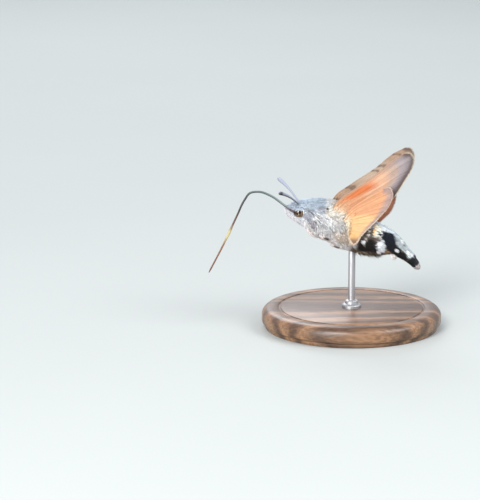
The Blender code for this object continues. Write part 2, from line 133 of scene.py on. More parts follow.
def place_group(nodes, group, **values):
    placed = add_node(nodes, "Group")
    placed.node_tree = group
    set_inputs(placed, **values)
    return placed


def shade_around_one(nodes, links, value, amount):
    """1 plus an amount times how far a value from 0 to 1 is from its middle."""
    centred = nodes.new("ShaderNodeMath")
    centred.operation = "SUBTRACT"
    centred.inputs[1].default_value = 0.5
    shade = nodes.new("ShaderNodeMath")
    shade.operation = "MULTIPLY_ADD"
    shade.inputs[2].default_value = 1.0
    links.new(value, centred.inputs[0])
    links.new(centred.outputs[0], shade.inputs[0])
    links.new(amount, shade.inputs[1])
    return shade.outputs[0]


def make_speckle():
    """Soft random light and dark over the surface: a shade around 1 and a height."""
    group, nodes, links, start, end = new_group("speckle", Scale=1000.0, Amount=0.2)
    place = add_node(nodes, "TexCoord")
    noise = add_node(nodes, "TexNoise", Detail=4)
    links.new(place.outputs["Object"], noise.inputs["Vector"])
    links.new(start.outputs["Scale"], noise.inputs["Scale"])
    shade = shade_around_one(nodes, links, noise.outputs["Fac"], start.outputs["Amount"])
    links.new(shade, end.inputs["Shade"])
    links.new(noise.outputs["Fac"], end.inputs["Height"])
    return group


speckle = make_speckle()


def add_bump(nodes, links, shader, height, distance, strength):
    bump = add_node(nodes, "Bump", Strength=strength, Distance=distance)
    links.new(height, bump.inputs["Height"])
    links.new(bump.outputs["Normal"], shader.inputs["Normal"])


def scaled(nodes, links, colour, factor):
    """The colour times a factor that changes over the surface."""
    product = nodes.new("ShaderNodeVectorMath")
    product.operation = "SCALE"
    links.new(colour, product.inputs[0])
    links.new(factor, product.inputs["Scale"])
    return product.outputs[0]


def shaded(nodes, links, colour, scale, amount):
    """The colour times a speckle, and the speckle's node."""
    grain = place_group(nodes, speckle, Scale=scale, Amount=amount)
    return scaled(nodes, links, colour, grain.outputs["Shade"]), grain


def floor_material():
    made, nodes, links, shader = new_material("pale_floor", 0.85)
    plain = nodes.new("ShaderNodeRGB")
    plain.outputs[0].default_value = (0.4, 0.42, 0.41, 1)
    colour, _ = shaded(nodes, links, plain.outputs[0], 14, 0.05)
    links.new(colour, shader.inputs["Base Color"])
    return made


def soft_lamp(name, place, size, power, colour):
    light = bpy.data.lights.new(name, "AREA")
    light.shape = "DISK"
    light.size = size
    light.energy = power
    light.color = colour
    lamp = bpy.data.objects.new(name, light)
    bpy.context.scene.collection.objects.link(lamp)
    lamp.location = place
    aim = Vector(LAMP_AIM) - lamp.location
    lamp.rotation_euler = aim.to_track_quat("-Z", "Y").to_euler()


ground = bpy.data.meshes.new("studio_floor")
corners = [(x * FLOOR_REACH, y * FLOOR_REACH, 0) for x, y in ((-1, -1), (1, -1), (1, 1), (-1, 1))]
ground.from_pydata(corners, [], [(0, 1, 2, 3)])
ground.materials.append(floor_material())
studio_floor = bpy.data.objects.new("studio_floor", ground)
bpy.context.scene.collection.objects.link(studio_floor)
for lamp_values in LAMPS:
    soft_lamp(*lamp_values)
surround = bpy.data.worlds.new("pale_surround")
surround.use_nodes = True
set_inputs(surround.node_tree.nodes["Background"], Color=SURROUND_COLOUR, Strength=SURROUND_STRENGTH)
bpy.context.scene.world = surround
bpy.context.scene.view_settings.view_transform = "Standard"


# Stand base: a disc of walnut turned on a lathe, with a quirk round its edge and a fine
# ring cut in its top, oiled to a satin finish. It stands loose on its flat underside.
BASE_PROFILE = (
    (0.0, 0.0), (17.0, 0.0), (17.35, 0.1), (17.45, 0.35), (17.45, 0.8), (17.6, 0.95),
    (17.9, 1.1), (18.0, 1.4), (18.0, 2.7), (17.9, 3.1), (17.6, 3.5), (17.1, 3.85),
    (16.5, 4.0), (14.9, 4.0), (14.8, 3.96), (14.7, 3.82), (14.5, 3.76), (14.3, 3.82),
    (14.2, 3.96), (14.1, 4.0), (2.3, 4.0), (0.0, 4.0),
)
LATHE_STEPS = 192
# A turned edge steeper than this stays sharp.
SHARP_ANGLE = math.radians(35)


def facing_out(points, faces):
    """The faces of a closed mesh, turned over if they face in."""
    corners = points[faces] - points.mean(0)
    volume = numpy.einsum("ij,ij->i", corners[:, 0], numpy.cross(corners[:, 1], corners[:, 2]))
    return faces if volume.sum() > 0 else faces[:, ::-1]


def tube_shell(rings):
    """Points and triangles of a closed shell over rings of equal count, with fan ends."""
    count, sides = rings.shape[:2]
    points = numpy.concatenate([rings.reshape(-1, 3), [rings[0].mean(0)], [rings[-1].mean(0)]])
    row, column = numpy.meshgrid(numpy.arange(count - 1), numpy.arange(sides), indexing="ij")
    beside = (column + 1) % sides
    a, b = row * sides + column, row * sides + beside
    d, c = a + sides, b + sides
    walls = numpy.concatenate([numpy.stack(t, -1).reshape(-1, 3) for t in ((a, b, c), (a, c, d))])
    k = numpy.arange(sides)
    first, last = count * sides, count * sides + 1
    end = (count - 1) * sides
    start_fan = numpy.stack([k * 0 + first, (k + 1) % sides, k], -1)
    end_fan = numpy.stack([k * 0 + last, end + k, end + (k + 1) % sides], -1)
    return points, facing_out(points, numpy.concatenate([walls, start_fan, end_fan]))


def make_piece(name, points, faces, look, slot, colours=None, maps=None):
    """A mesh object from arrays, riding on the body, with point colours and named maps."""
    mesh = bpy.data.meshes.new(name)
    mesh.vertices.add(len(points))
    mesh.vertices.foreach_set("co", numpy.ascontiguousarray(points, numpy.float32).ravel())
    corners = numpy.ascontiguousarray(faces, numpy.int32)
    mesh.loops.add(corners.size)
    mesh.loops.foreach_set("vertex_index", corners.ravel())
    mesh.polygons.add(len(corners))
    starts = numpy.arange(0, corners.size, corners.shape[1], dtype=numpy.int32)
    mesh.polygons.foreach_set("loop_start", starts)
    mesh.update(calc_edges=True)
    mesh.shade_smooth()
    if colours is not None:
        layer = mesh.attributes.new("paint", "FLOAT_COLOR", "POINT")
        full = numpy.concatenate([colours, numpy.ones((len(colours), 1))], 1)
        layer.data.foreach_set("color", numpy.clip(full, 0, 1).astype(numpy.float32).ravel())
    for map_name, places in (maps or {}).items():
        layer = mesh.uv_layers.new(name=map_name)
        layer.data.foreach_set("uv", places[corners.ravel()].astype(numpy.float32).ravel())
    mesh.materials.append(look)
    piece = bpy.data.objects.new(name, mesh)
    bpy.context.scene.collection.objects.link(piece)
    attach(piece, "root")
    return piece


def even_turns(count):
    """Even steps of one full turn, in radians."""
    return numpy.arange(count) / count * 2 * math.pi


def lathe_piece(name, profile, steps, look, slot):
    """A piece turned round the Z axis over (radius, height) pairs in mm."""
    turn = even_turns(steps)
    circle = numpy.stack([numpy.cos(turn), numpy.sin(turn), turn * 0], 1)
    rings = [circle * max(radius, 0.01) + (0, 0, height) for radius, height in profile]
    piece = make_piece(name, *tube_shell(numpy.array(rings) * MM), look, slot)
    piece.data.set_sharp_from_angle(angle=SHARP_ANGLE)
    return piece


def drawn_out(nodes, links, scale):
    """The object's own coordinates, scaled along each axis."""
    place = add_node(nodes, "TexCoord")
    stretch = add_node(nodes, "Mapping", Scale=scale)
    links.new(place.outputs["Object"], stretch.inputs["Vector"])
    return stretch.outputs[0]


def two_tints(nodes, links, share, dark, light):
    """A colour from dark to light by a share that changes over the surface."""
    ramp = nodes.new("ShaderNodeValToRGB")
    for stop, tint in zip(ramp.color_ramp.elements, (dark, light)):
        stop.color = tint
    links.new(share, ramp.inputs["Fac"])
    return ramp.outputs["Color"]


def walnut_material():
    """Walnut's yearly rings, drawn out along the grain, with fine dark pores."""
    made, nodes, links, shader = new_material("satin_walnut", 0.42, Coat_Weight=0.25, Coat_Roughness=0.3)
    lengthwise = drawn_out(nodes, links, (0.16, 1.0, 1.0))
    bands = add_node(nodes, "TexWave", Scale=75, Distortion=9, Detail=3, Detail_Scale=1.6)
    bands.wave_type = "RINGS"
    bands.rings_direction = "X"
    pores = add_node(nodes, "TexNoise", Scale=2600, Detail=5)
    links.new(lengthwise, bands.inputs["Vector"])
    links.new(lengthwise, pores.inputs["Vector"])
    browns = (0.075, 0.036, 0.018, 1), (0.24, 0.125, 0.062, 1)
    tint = two_tints(nodes, links, bands.outputs["Fac"], *browns)
    dark = add_node(nodes, "MapRange", From_Min=0.35, From_Max=0.6, To_Min=0.55, To_Max=1.1)
    links.new(pores.outputs["Fac"], dark.inputs["Value"])
    links.new(scaled(nodes, links, tint, dark.outputs["Result"]), shader.inputs["Base Color"])
    add_bump(nodes, links, shader, pores.outputs["Fac"], 0.03 * MM, 0.5)
    return made


turned_base = lathe_piece("turned_base", BASE_PROFILE, LATHE_STEPS, walnut_material(), "stand_wood")
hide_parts("stand_base")


# Stand rod: a straight drawn steel rod, brushed along its length, screwed into a small
# turned collar on the base. Its top runs up into the coat of the belly.
ROD_RADIUS = 0.7
ROD_ROOT = 4.0
ROD_SUNK = 0.55
ROD_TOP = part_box("stand_rod")[1].z / MM
ROD_STEPS = 48
ROD_PROFILE = (
    (0.0, ROD_ROOT - 0.02), (1.9, ROD_ROOT - 0.02), (1.9, 4.45), (1.75, 4.65), (1.35, 4.8), (1.3, 5.25),
    (1.15, 5.4), (0.75, 5.45), (ROD_RADIUS, 5.5), (ROD_RADIUS, ROD_TOP), (0.6, ROD_TOP + ROD_SUNK),
    (0.0, ROD_TOP + ROD_SUNK),
)


def steel_material():
    """Steel with fine brushed streaks along the rod."""
    made, nodes, links, shader = new_material("brushed_steel", 0.3, Metallic=1.0)
    streak = add_node(nodes, "TexNoise", Scale=9000, Detail=2)
    links.new(drawn_out(nodes, links, (1.0, 1.0, 0.03)), streak.inputs["Vector"])
    rough = add_node(nodes, "MapRange", To_Min=0.36, To_Max=0.6)
    links.new(streak.outputs["Fac"], rough.inputs["Value"])
    links.new(rough.outputs["Result"], shader.inputs["Roughness"])
    greys = (0.36, 0.36, 0.38, 1), (0.56, 0.56, 0.57, 1)
    links.new(two_tints(nodes, links, streak.outputs["Fac"], *greys), shader.inputs["Base Color"])
    add_bump(nodes, links, shader, streak.outputs["Fac"], 0.01 * MM, 0.4)
    return made


steel_rod = lathe_piece("steel_rod", ROD_PROFILE, ROD_STEPS, steel_material(), "stand_steel")
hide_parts("stand_rod")


# Skin: head, thorax, abdomen and tail core as one soft leathery skin, which lies under
# the coat by the coat's depth. The abdomen's rings stand a little over each other.
# Stations: X and Z of the body's middle line, half heights above and below it, half width.
BODY_STATIONS = (
    (-13.30, 24.55, 0.25, 0.25, 0.30),
    (-12.60, 24.25, 1.05, 0.95, 1.25),
    (-11.40, 23.81, 1.85, 1.75, 2.15),
    (-10.00, 23.42, 2.35, 2.45, 2.50),
    (-8.40, 23.05, 3.05, 3.10, 3.20),
    (-6.46, 22.50, 3.75, 3.75, 3.80),
    (-3.90, 21.55, 4.05, 4.00, 4.00),
    (-1.42, 20.38, 4.10, 4.10, 3.95),
    (1.60, 18.99, 3.70, 3.70, 3.75),
    (5.20, 17.86, 3.05, 3.05, 3.55),
    (7.80, 16.93, 2.30, 2.20, 3.10),
    (9.70, 15.70, 1.60, 1.60, 2.40),
    (11.45, 14.20, 1.15, 1.10, 1.85),
    (13.45, 12.00, 0.60, 0.60, 1.30),
)
NECK = 3.8
WAIST = 15.9
CORE_END = 27.6
SEGMENT_LENGTH = 1.6
SEGMENT_STEP = 0.15
# The coat's depth by distance along the body, and the share of it by degrees from straight up.
COAT_DEPTH = ((0, 0.1), (2, 0.22), (NECK, 0.32), (8, 0.42), (WAIST, 0.42), (25, 0.32), (28, 0.25))
COAT_DEPTH_ROUND = ((0, 0.3), (45, 0.4), (80, 1), (180, 1))
# Clumps of the coat: how long one is, and how many go round the body.
CLUMP_LENGTH = 1.5
CLUMPS_ROUND = 60
SKIN_ROWS = 300
SKIN_SIDES = 144
# How bright the skin's paint is beside the coat's over it: painted shade, so that the gaps between the tufts
# look dark.
SKIN_PAINTED_SHADE = 0.35
# A small step along or round the body, to measure its directions.
NUDGE = 0.05
# How far every map stays from its edge, and how much of it the skin's takes up.
MAP_MARGIN = 0.02
SKIN_MAP_SPAN = 0.955


def smooth_line(points):
    """The smooth line through the points, in mm, by the distance along it, and its length.

    The first two columns are the place. Later columns are carried along.
    """
    points = numpy.array(points, float)
    steps = numpy.linalg.norm(numpy.diff(points[:, :2], axis=0), axis=1)
    at = numpy.concatenate([[0.0], numpy.cumsum(steps)])
    slopes = numpy.gradient(points, at, axis=0)

    def value(distance):
        distance = numpy.asarray(distance, float)
        i = numpy.clip(numpy.searchsorted(at, distance) - 1, 0, len(at) - 2)
        span = (at[i + 1] - at[i])[..., None]
        t = (distance - at[i])[..., None] / span
        return (
            points[i] * (2 * t**3 - 3 * t**2 + 1)
            + slopes[i] * span * (t**3 - 2 * t**2 + t)
            + points[i + 1] * (3 * t**2 - 2 * t**3)
            + slopes[i + 1] * span * (t**3 - t**2)
        )

    return value, float(at[-1])


body_line, BODY_LENGTH = smooth_line(BODY_STATIONS)


def unit(vectors):
    return vectors / numpy.linalg.norm(vectors, axis=-1, keepdims=True)


def lookup(table, values):
    """Values read from a table of (place, value) pairs, in between by straight lines."""
    places, results = zip(*table)
    return numpy.interp(values, places, results)


def body_point(distance, angle, off=0.0):
    """Points of the body, in mm, by distance along it and angle from straight up.

    The angle grows towards the right side. off is how far outside the surface they are.
    """
    row = body_line(distance)
    ahead, behind = body_line(distance + NUDGE), body_line(distance - NUDGE)
    along = unit(ahead[..., :2] - behind[..., :2])
    tall = numpy.where(numpy.cos(angle) > 0, row[..., 2], row[..., 3]) + off
    rise = tall * numpy.cos(angle)
    x = row[..., 0] - along[..., 1] * rise
    z = row[..., 1] + along[..., 0] * rise
    return numpy.stack([x, (row[..., 4] + off) * numpy.sin(angle), z], -1)


def body_axes(distance, angle):
    """Unit vectors at places of the body: back along it, to its right round it, and out."""
    along = unit(body_point(distance + NUDGE, angle) - body_point(distance - NUDGE, angle))
    around = unit(body_point(distance, angle + NUDGE) - body_point(distance, angle - NUDGE))
    out = unit(numpy.cross(along, around))
    return along, unit(numpy.cross(out, along)), out


def coat_depth(distance, angle):
    """How far the skin lies under the coat, in mm: least along the back, where it is short."""
    share = lookup(COAT_DEPTH_ROUND, numpy.degrees(numpy.abs(angle)))
    return lookup(COAT_DEPTH, distance) * share


def smooth(value, low, high):
    """0 under low, 1 over high and a soft step between."""
    t = numpy.clip((value - low) / (high - low), 0, 1)
    return t * t * (3 - 2 * t)


def flood(shape, colour):
    """One colour for every place of an array of this shape."""
    return numpy.zeros((*shape, 3)) + to_linear(*colour)


def mix(colours, colour, share):
    return colours + (to_linear(*colour) - colours) * share[..., None]


def overlaid(colours, layers):
    """Colours with layers laid over them in this order, each a colour and its shares."""
    for colour, share in layers:
        colours = mix(colours, colour, share)
    return colours


def streaks(distance, angle, length, count, seed):
    """Smooth random values from 0 to 1 in streaks of a length in mm along the body."""
    rows = 64
    lattice = numpy.random.default_rng(seed).random((rows, count))
    turn = (angle / (2 * math.pi)) % 1 * count
    run = distance / length + 3
    column, row = numpy.floor(turn).astype(int), numpy.floor(run).astype(int)
    f, g = turn - column, run - row
    f, g = f * f * (3 - 2 * f), g * g * (3 - 2 * g)
    column, beside, row, below = column % count, (column + 1) % count, row % rows, (row + 1) % rows
    upper = lattice[row, column] * (1 - f) + lattice[row, beside] * f
    lower = lattice[below, column] * (1 - f) + lattice[below, beside] * f
    return upper * (1 - g) + lower * g


# How far the hair turns from the body's line towards the belly: degrees by distance along
# the body, and the share of them by degrees from straight up.
HAIR_START = 3.6
HAIR_TURN = ((HAIR_START, 0), (4.6, 44), (6, 38), (8, 30), (12, 24), (15, 12), (17, 0))
HAIR_TURN_ROUND = ((44, 0), (84, 1), (122, 1), (168, 0))
HAIR_MIDDLE = 9.5
HAIR_STEPS = 30


def hair_turn(distance, around):
    share = lookup(HAIR_TURN_ROUND, numpy.degrees(around))
    return numpy.radians(lookup(HAIR_TURN, distance)) * share


def hair_line(distance, angle):
    """The angle at which the line of hair through a place crosses the middle of the thorax."""
    around = numpy.abs(angle)
    step = (distance - HAIR_MIDDLE) / HAIR_STEPS
    for k in range(HAIR_STEPS):
        at = distance - step * (k + 0.5)
        around = around - numpy.tan(hair_turn(at, around)) * step / body_line(at)[..., 4]
    return around * numpy.sign(angle)


def clump_aside(distance, line):
    """How far round, in mm, a place on a line of hair is from the middle of its clump."""
    ragged = streaks(distance, line, 2.2, 48, 23) - 0.5
    row = numpy.floor((distance + 1.3 * ragged) / CLUMP_LENGTH)
    column = CLUMPS_ROUND * (line / (2 * math.pi) + 0.004 * ragged) + 0.5 * row
    girth = body_line(distance)[..., 2:].sum(-1) * math.pi * 0.66
    return (column - numpy.floor(column) - 0.5) * girth / CLUMPS_ROUND


# Markings of the coat: (distance in mm, angle in degrees, half length, half height in
# degrees, colour), laid over each other in this order on both sides alike.
PATCHES = (
    (10.2, 60, 2.6, 20, (246, 241, 231)),
    (8.05, 57, 0.24, 4, (22, 20, 22)),
    (12.8, 116, 2.4, 16, (244, 230, 216)),
    (8.3, 20, 1.0, 34, (208, 210, 212)),
    (9.0, 28, 0.6, 26, (216, 206, 194)),
    (4.9, 78, 1.1, 13, (178, 182, 192)),
    (6.4, 65, 1.2, 11, (190, 196, 204)),
    (7.0, 58, 0.9, 9, (168, 171, 180)),
    (4.9, 100, 0.7, 12, (166, 166, 178)),
    (6.1, 112, 0.9, 14, (190, 186, 192)),
    (3.9, 86, 0.28, 26, (246, 251, 255)),
    (17.0, 88, 1.6, 44, (98, 86, 78)),
    (17.9, 112, 2.0, 24, (28, 23, 20)),
    (18.9, 46, 1.1, 28, (255, 252, 236)),
    (18.1, 46, 0.28, 18, (248, 192, 102)),
    (19.3, 56, 0.3, 7, (22, 28, 44)),
    (16.95, 69, 0.17, 40, (232, 222, 212)),
    (20.2, 30, 0.9, 15, (240, 247, 253)),
    (19.9, 58, 0.36, 31, (250, 252, 250)),
    (21.5, 61, 1.85, 34, (8, 17, 34)),
    (23.4, 97, 2.7, 19, (12, 15, 24)),
    (20.2, 98, 0.95, 17, (246, 250, 255)),
    (21.5, 126, 1.1, 14, (176, 146, 116)),
    (24.6, 124, 2.0, 20, (26, 22, 24)),
    (24.5, 40, 1.95, 38, (200, 209, 212)),
    (23.9, 25, 0.4, 12, (255, 255, 255)),
    (25.2, 84, 0.5, 5, (112, 90, 62)),
    # The next white band is tinted blue: painted shade on white scales.
    (26.2, 66, 0.95, 20, (232, 248, 255)),
)


# How far down the sides the grey of the back reaches: degrees by distance in mm.
GREY_EDGE = ((0, 92), (4.8, 90), (6.2, 78), (7.5, 62), (9, 50), (28, 50))


def coat_colour(distance, angle):
    """The coat's colour at places of the body, linear, with painted shadow between the locks of hair on its
    sides.
    """
    around = numpy.degrees(numpy.abs(angle))
    ragged = streaks(distance, angle, 0.7, 75, 3) - 0.5
    s = distance + 0.45 * ragged
    a = around + 16 * ragged
    edge = lookup(GREY_EDGE, s)
    face = 1 - smooth(s, 2.8, 4.4)
    hind = smooth(s, WAIST - 0.8, WAIST + 0.6)
    stripe = (1 - smooth(numpy.abs(a - 90), 8, 15)) * (1 - smooth(s, 1.8, 2.2))
    brown = (1 - smooth(numpy.abs(s - 17.8), 2.2, 3)) * smooth(a, 126, 140)
    layers = [
        ((172, 184, 196), smooth(s, 3.2, 4.4)),
        ((241, 241, 243), smooth(a, edge - 12, edge + 12) * smooth(s, 2.8, 5)),
        ((255, 250, 252), smooth(a, 112, 134) * smooth(s, 2.8, 5)),
        ((218, 221, 227), smooth(a, 92, 102) * face),
        ((240, 240, 243), smooth(a, 116, 130) * face),
        ((118, 102, 112), stripe * face),
        ((150, 148, 158), hind * (1 - smooth(a, 38, 56))),
        ((120, 106, 96), hind * smooth(a, 60, 76)),
        ((216, 226, 232), smooth(s, 18.2, 19.4) * (1 - smooth(a, 30, 44))),
        ((116, 98, 80), brown),
    ]
    for place, height, half_length, half_height, paint in PATCHES:
        reach = numpy.hypot((s - place) / half_length, (a - height) / half_height)
        layers.append((paint, 1 - smooth(reach, 0.85, 1.15)))
    layers.append(((24, 26, 32), smooth(s - 0.5 * (1 - smooth(a, 40, 70)), 26.7, 27.0)))
    colour = overlaid(flood(s.shape, (188, 200, 212)), layers)
    line = hair_line(distance, angle)
    # Painted shadow: the long and fine streaks along the lines of hair stand for shade between its locks,
    # deep on the thorax's sides and faint elsewhere.
    long = smooth(streaks(distance, line, 1.7, 128, 17), 0.54, 0.82)
    fine = smooth(streaks(distance, line, 1.3, 150, 11), 0.45, 0.9)
    mottled = smooth(streaks(distance, angle, 0.5, 64, 29), 0.4, 0.8)
    low = smooth(around, 98, 122) * smooth(s, 6.6, 8) * (1 - smooth(s, 11, 12.5))
    sides = smooth(around, 54, 76) * smooth(s, 3.6, 4.8) * (1 - 0.9 * low)
    sides = sides * (1 - 0.7 * smooth(around, 110, 134))
    sides = sides * (1 - 0.7 * hind) * (1 - 0.3 * smooth(s, 6.5, 9))
    speckled = 1 - 0.85 * hind + 0.6 * smooth(s, 19.0, 19.8) + 0.7 * smooth(s, 21.5, 23)
    flecks = (0.3 + 0.12 * hind) * (1 - sides) * speckled * mottled
    flecks = flecks * (1 - 0.85 * smooth(around, 124, 144) * (1 - hind))
    # Painted shadow from the streaks, and random flecks of tone.
    shade = 1.08 - 0.72 * sides * long - (0.12 + 0.2 * sides) * fine - flecks
    return colour * numpy.maximum(shade, 0.14)[..., None]


def skin_map(distance, angle):
    """Places on the skin's own unwrap: its length one way, its girth the other."""
    along = MAP_MARGIN + SKIN_MAP_SPAN * distance / BODY_LENGTH
    return numpy.stack([along, MAP_MARGIN + SKIN_MAP_SPAN * (angle / (2 * math.pi) + 0.5)], -1)


def paint_input(nodes, links, shader, scale, amount):
    """The mesh's own point colours, speckled, to the shader. It returns the speckle."""
    paint = add_node(nodes, "Attribute")
    paint.attribute_name = "paint"
    colour, grain = shaded(nodes, links, paint.outputs["Color"], scale, amount)
    links.new(colour, shader.inputs["Base Color"])
    return grain


def skin_material():
    """Dull leathery skin, with grain enough to pass for the feet of the coat."""
    made, nodes, links, shader = new_material("coat_skin", 0.88)
    grain = paint_input(nodes, links, shader, 2400, 0.6)
    add_bump(nodes, links, shader, grain.outputs["Height"], 0.08 * MM, 0.8)
    return made


def grid_faces(rows, columns):
    """Quads of a grid of points, whose columns don't close."""
    row, column = numpy.meshgrid(numpy.arange(rows - 1), numpy.arange(columns - 1), indexing="ij")
    a = row * columns + column
    return numpy.stack([a, a + 1, a + columns + 1, a + columns], -1).reshape(-1, 4)


distances = numpy.linspace(0.12, CORE_END, SKIN_ROWS)
at_distance, at_angle = numpy.meshgrid(distances, even_turns(SKIN_SIDES) - math.pi, indexing="ij")
step_share = (at_distance - WAIST) / SEGMENT_LENGTH % 1
steps = SEGMENT_STEP * (step_share - 0.5) * smooth(at_distance, WAIST, WAIST + 0.5)
lift = steps - coat_depth(at_distance, at_angle)
skin_points, skin_faces = tube_shell(body_point(at_distance, at_angle, lift) * MM)
ends = numpy.array(((distances[0], 0.0), (distances[-1], 0.0)))
skin_places = numpy.concatenate([numpy.stack([at_distance, at_angle], -1).reshape(-1, 2), ends])
skin = make_piece(
    "skin",
    skin_points,
    skin_faces,
    skin_material(),
    "body_coat",
    coat_colour(*skin_places.T) * SKIN_PAINTED_SHADE,
    {"OFBake": skin_map(*skin_places.T)},
)
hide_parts("head", "thorax", "abdomen", "tail_fan")


# Coat: flat hair-like scales in small tufts that overlap and lie back along the body,
# shortest on the face and longest on the thorax's sides. Each tuft is rooted in the skin.
BLADE_SHARES = (0.0, 0.38, 0.74)
BLADE_WIDTHS = (0.8, 1.0, 0.66)
BLADE_FACES = numpy.array(
    [
        corner
        for low in (0, 3)
        for corner in (
            (low, low + 3, low + 4), (low, low + 4, low + 1),
            (low + 1, low + 4, low + 5), (low + 1, low + 5, low + 2),
            (low + 2, low + 5, low + 3), (low + 2, low + 3, low),
        )
    ]
    + [(6, 9, 7), (7, 9, 8), (8, 9, 6), (0, 1, 2)]
)
BLADE_RIDGE = 0.3
# How bright a blade's tip is: its paint runs from a darker root up to this, painted shade at the roots and
# painted light at the tips.
BLADE_TIP_SHADE = 1.08
MAP_PATCH = 0.003
CLUMPING = 0.7
ROOT_SUNK = 0.04
# The share of a tuft's length at which the coat's marking gives its colour.
SEEN_SHARE = 0.7
# Steps of a full run that spread places evenly in two or three ways at once.
EVEN_STEPS = (0.8191725134, 0.6710436067, 0.5497004779)
# Length and width of a tuft in mm and its lift off the skin in degrees, by distance. The
# second table is the length's factor by degrees from straight up.
COAT_LENGTH = ((0, 0.3), (1.5, 0.45), (NECK, 0.85), (6, 1.2), (12, 1.55), (WAIST, 1.4), (20, 1.15), (27, 1.2))
COAT_LENGTH_ROUND = ((0, 0.7), (45, 0.75), (75, 1.3), (120, 1.35), (180, 1.1))
COAT_WIDTH = ((0, 0.07), (2, 0.09), (NECK, 0.12), (8, 0.15), (27, 0.14))
COAT_LIFT = ((0, 17), (NECK, 21), (8, 20), (WAIST, 19), (20, 19), (27, 15))
EYE_RADIUS = 1.05
EYE_PLACE = numpy.array((-10.65, 1.7, 23.75))
EYE_CLEARANCE = 0.04
# Pieces of the coat: name, from where to where along the body, how many tufts, and slot.
COAT_PIECES = (
    ("coat_head", 0.3, 4.3, 9500, "body_coat"),
    ("coat_shoulders", 4.1, 8.2, 11500, "body_coat"),
    ("coat_thorax", 8.0, 12.2, 12000, "body_coat"),
    ("coat_waist", 12.0, 16.2, 11500, "body_coat"),
    ("coat_abdomen", 15.9, 20.7, 11500, "abdomen_coat"),
    ("coat_hind", 20.5, 27.1, 11500, "abdomen_coat"),
)


def grow_blades(roots, heading, up, length, width, curl, sway, root_paint, tip_paint, places, painted_root_shade=0.5):
    """Closed flat blades from roots in mm, each with a patch of the map. Arrays by blade."""
    across = unit(numpy.cross(heading, up))
    over = unit(numpy.cross(across, heading))
    rows, paints, spots = [], [], []
    for share, wide in zip(BLADE_SHARES + (1.0,), BLADE_WIDTHS + (0.0,)):
        middle = roots + heading * (length * share)[:, None]
        middle = middle - over * (length * curl * share**2)[:, None]
        middle = middle + across * (length * sway * share**2)[:, None]
        half = across * (width * wide / 2)[:, None]
        ridge = over * (width * wide * BLADE_RIDGE)[:, None]
        paint = root_paint + (tip_paint - root_paint) * smooth(share, 0.5, 1.0)
        # Painted shade at the blade's root, getting lighter towards its tip.
        paint = paint * (painted_root_shade + (BLADE_TIP_SHADE - painted_root_shade) * share)
        ring = [(middle + ridge, 0.5)]
        if share < 1.0:
            ring = [(middle - half, 0.0), (middle + half, 1.0), *ring]
        for point, aside in ring:
            rows.append(point)
            paints.append(paint)
            spots.append(places + numpy.array((share, aside)) * MAP_PATCH)
    corners = len(rows)
    points = numpy.stack(rows, 1).reshape(-1, 3) * MM
    faces = (BLADE_FACES[None] + numpy.arange(len(roots))[:, None, None] * corners).reshape(-1, 3)
    paints = numpy.stack(paints, 1).reshape(-1, 3)
    spots = numpy.stack(spots, 1).reshape(-1, 2)
    return points, faces, paints, {"OFBake": spots}


def scatter(count, start, end, seed):
    """Even places on the body between two distances, as many as its girth has room for."""
    k = numpy.arange(count * 2) + 977 * seed
    along, around, chance = (step * k % 1 for step in EVEN_STEPS)
    distance = start + (end - start) * along
    row = body_line(distance)
    girth = row[:, 2] + row[:, 3] + 2 * row[:, 4]
    angle = 2 * math.pi * around - math.pi
    kept = chance < girth / girth.max()
    return distance[kept][:count], angle[kept][:count]


def off_eyes(roots, heading, length):
    """Which blades stay clear of both eyes along their whole length."""
    clear = numpy.ones(len(roots), bool)
    for side in SIDES.values():
        centre = EYE_PLACE * (1, side, 1)
        for share in (0.0, 0.3, 0.6, 1.0):
            point = roots + heading * (length * share)[:, None]
            clear &= numpy.linalg.norm(point - centre, axis=1) > EYE_RADIUS + EYE_CLEARANCE
    return clear


def fur_material(name, scale=5200.0):
    """Soft scales with a faint sheen, of which each has its own paint."""
    finish = {"Sheen_Weight": 0.03, "Sheen_Roughness": 0.45, "Specular_IOR_Level": 0.25}
    made, nodes, links, shader = new_material(name, 0.7, **finish)
    grain = paint_input(nodes, links, shader, scale, 0.5)
    add_bump(nodes, links, shader, grain.outputs["Height"], 0.02 * MM, 0.5)
    return made


def grown(arrays, look, slot, kept=slice(None), painted_root_shade=0.5):
    """What make_piece needs for the kept ones of these blades, with painted shade at their roots."""
    points, faces, paints, maps = grow_blades(*(values[kept] for values in arrays), painted_root_shade)
    return points, faces, look, slot, paints, maps


def coat_piece(name, distance, angle, seed, slot, look, length, lift, width, turn, paint=None):
    """Grows blades on the skin at these places, leaving out those that would cross an eye.

    Their colour is the coat's under their outer part where no paint is given: its markings, with painted
    shadow between the locks of hair.
    """
    rng = numpy.random.default_rng(seed)
    count = len(distance)
    length = length * rng.uniform(0.72, 1.25, count)
    width = width * rng.uniform(0.75, 1.3, count)
    lift = numpy.radians(lift * rng.uniform(0.6, 1.3, count))
    side = numpy.sign(angle)
    lean = hair_turn(distance, numpy.abs(angle)) * side + numpy.radians(turn + rng.normal(0, 3.5, count))
    aside = clump_aside(distance, hair_line(distance, angle))
    turn = lean - numpy.arctan(CLUMPING * aside / length)
    along, around, out = body_axes(distance, angle)
    lie = along * numpy.cos(turn)[:, None] + around * numpy.sin(turn)[:, None]
    heading = lie * numpy.cos(lift)[:, None] + out * numpy.sin(lift)[:, None]
    roots = body_point(distance, angle, -coat_depth(distance, angle) - ROOT_SUNK)
    if paint is None:
        seen = SEEN_SHARE * length
        shift = seen * numpy.sin(turn) / body_line(distance)[..., 4]
        paint = coat_colour(distance + seen * numpy.cos(turn), angle + shift)
    colour = paint * rng.uniform(0.8, 1.12, count)[:, None]
    curl = rng.uniform(0.02, 0.1, count)
    sway = rng.normal(0, 0.07, count)
    arrays = (roots, heading, out, length, width, curl, sway, colour, colour, skin_map(distance, angle))
    make_piece(name, *grown(arrays, look, slot, off_eyes(roots, heading, length)))


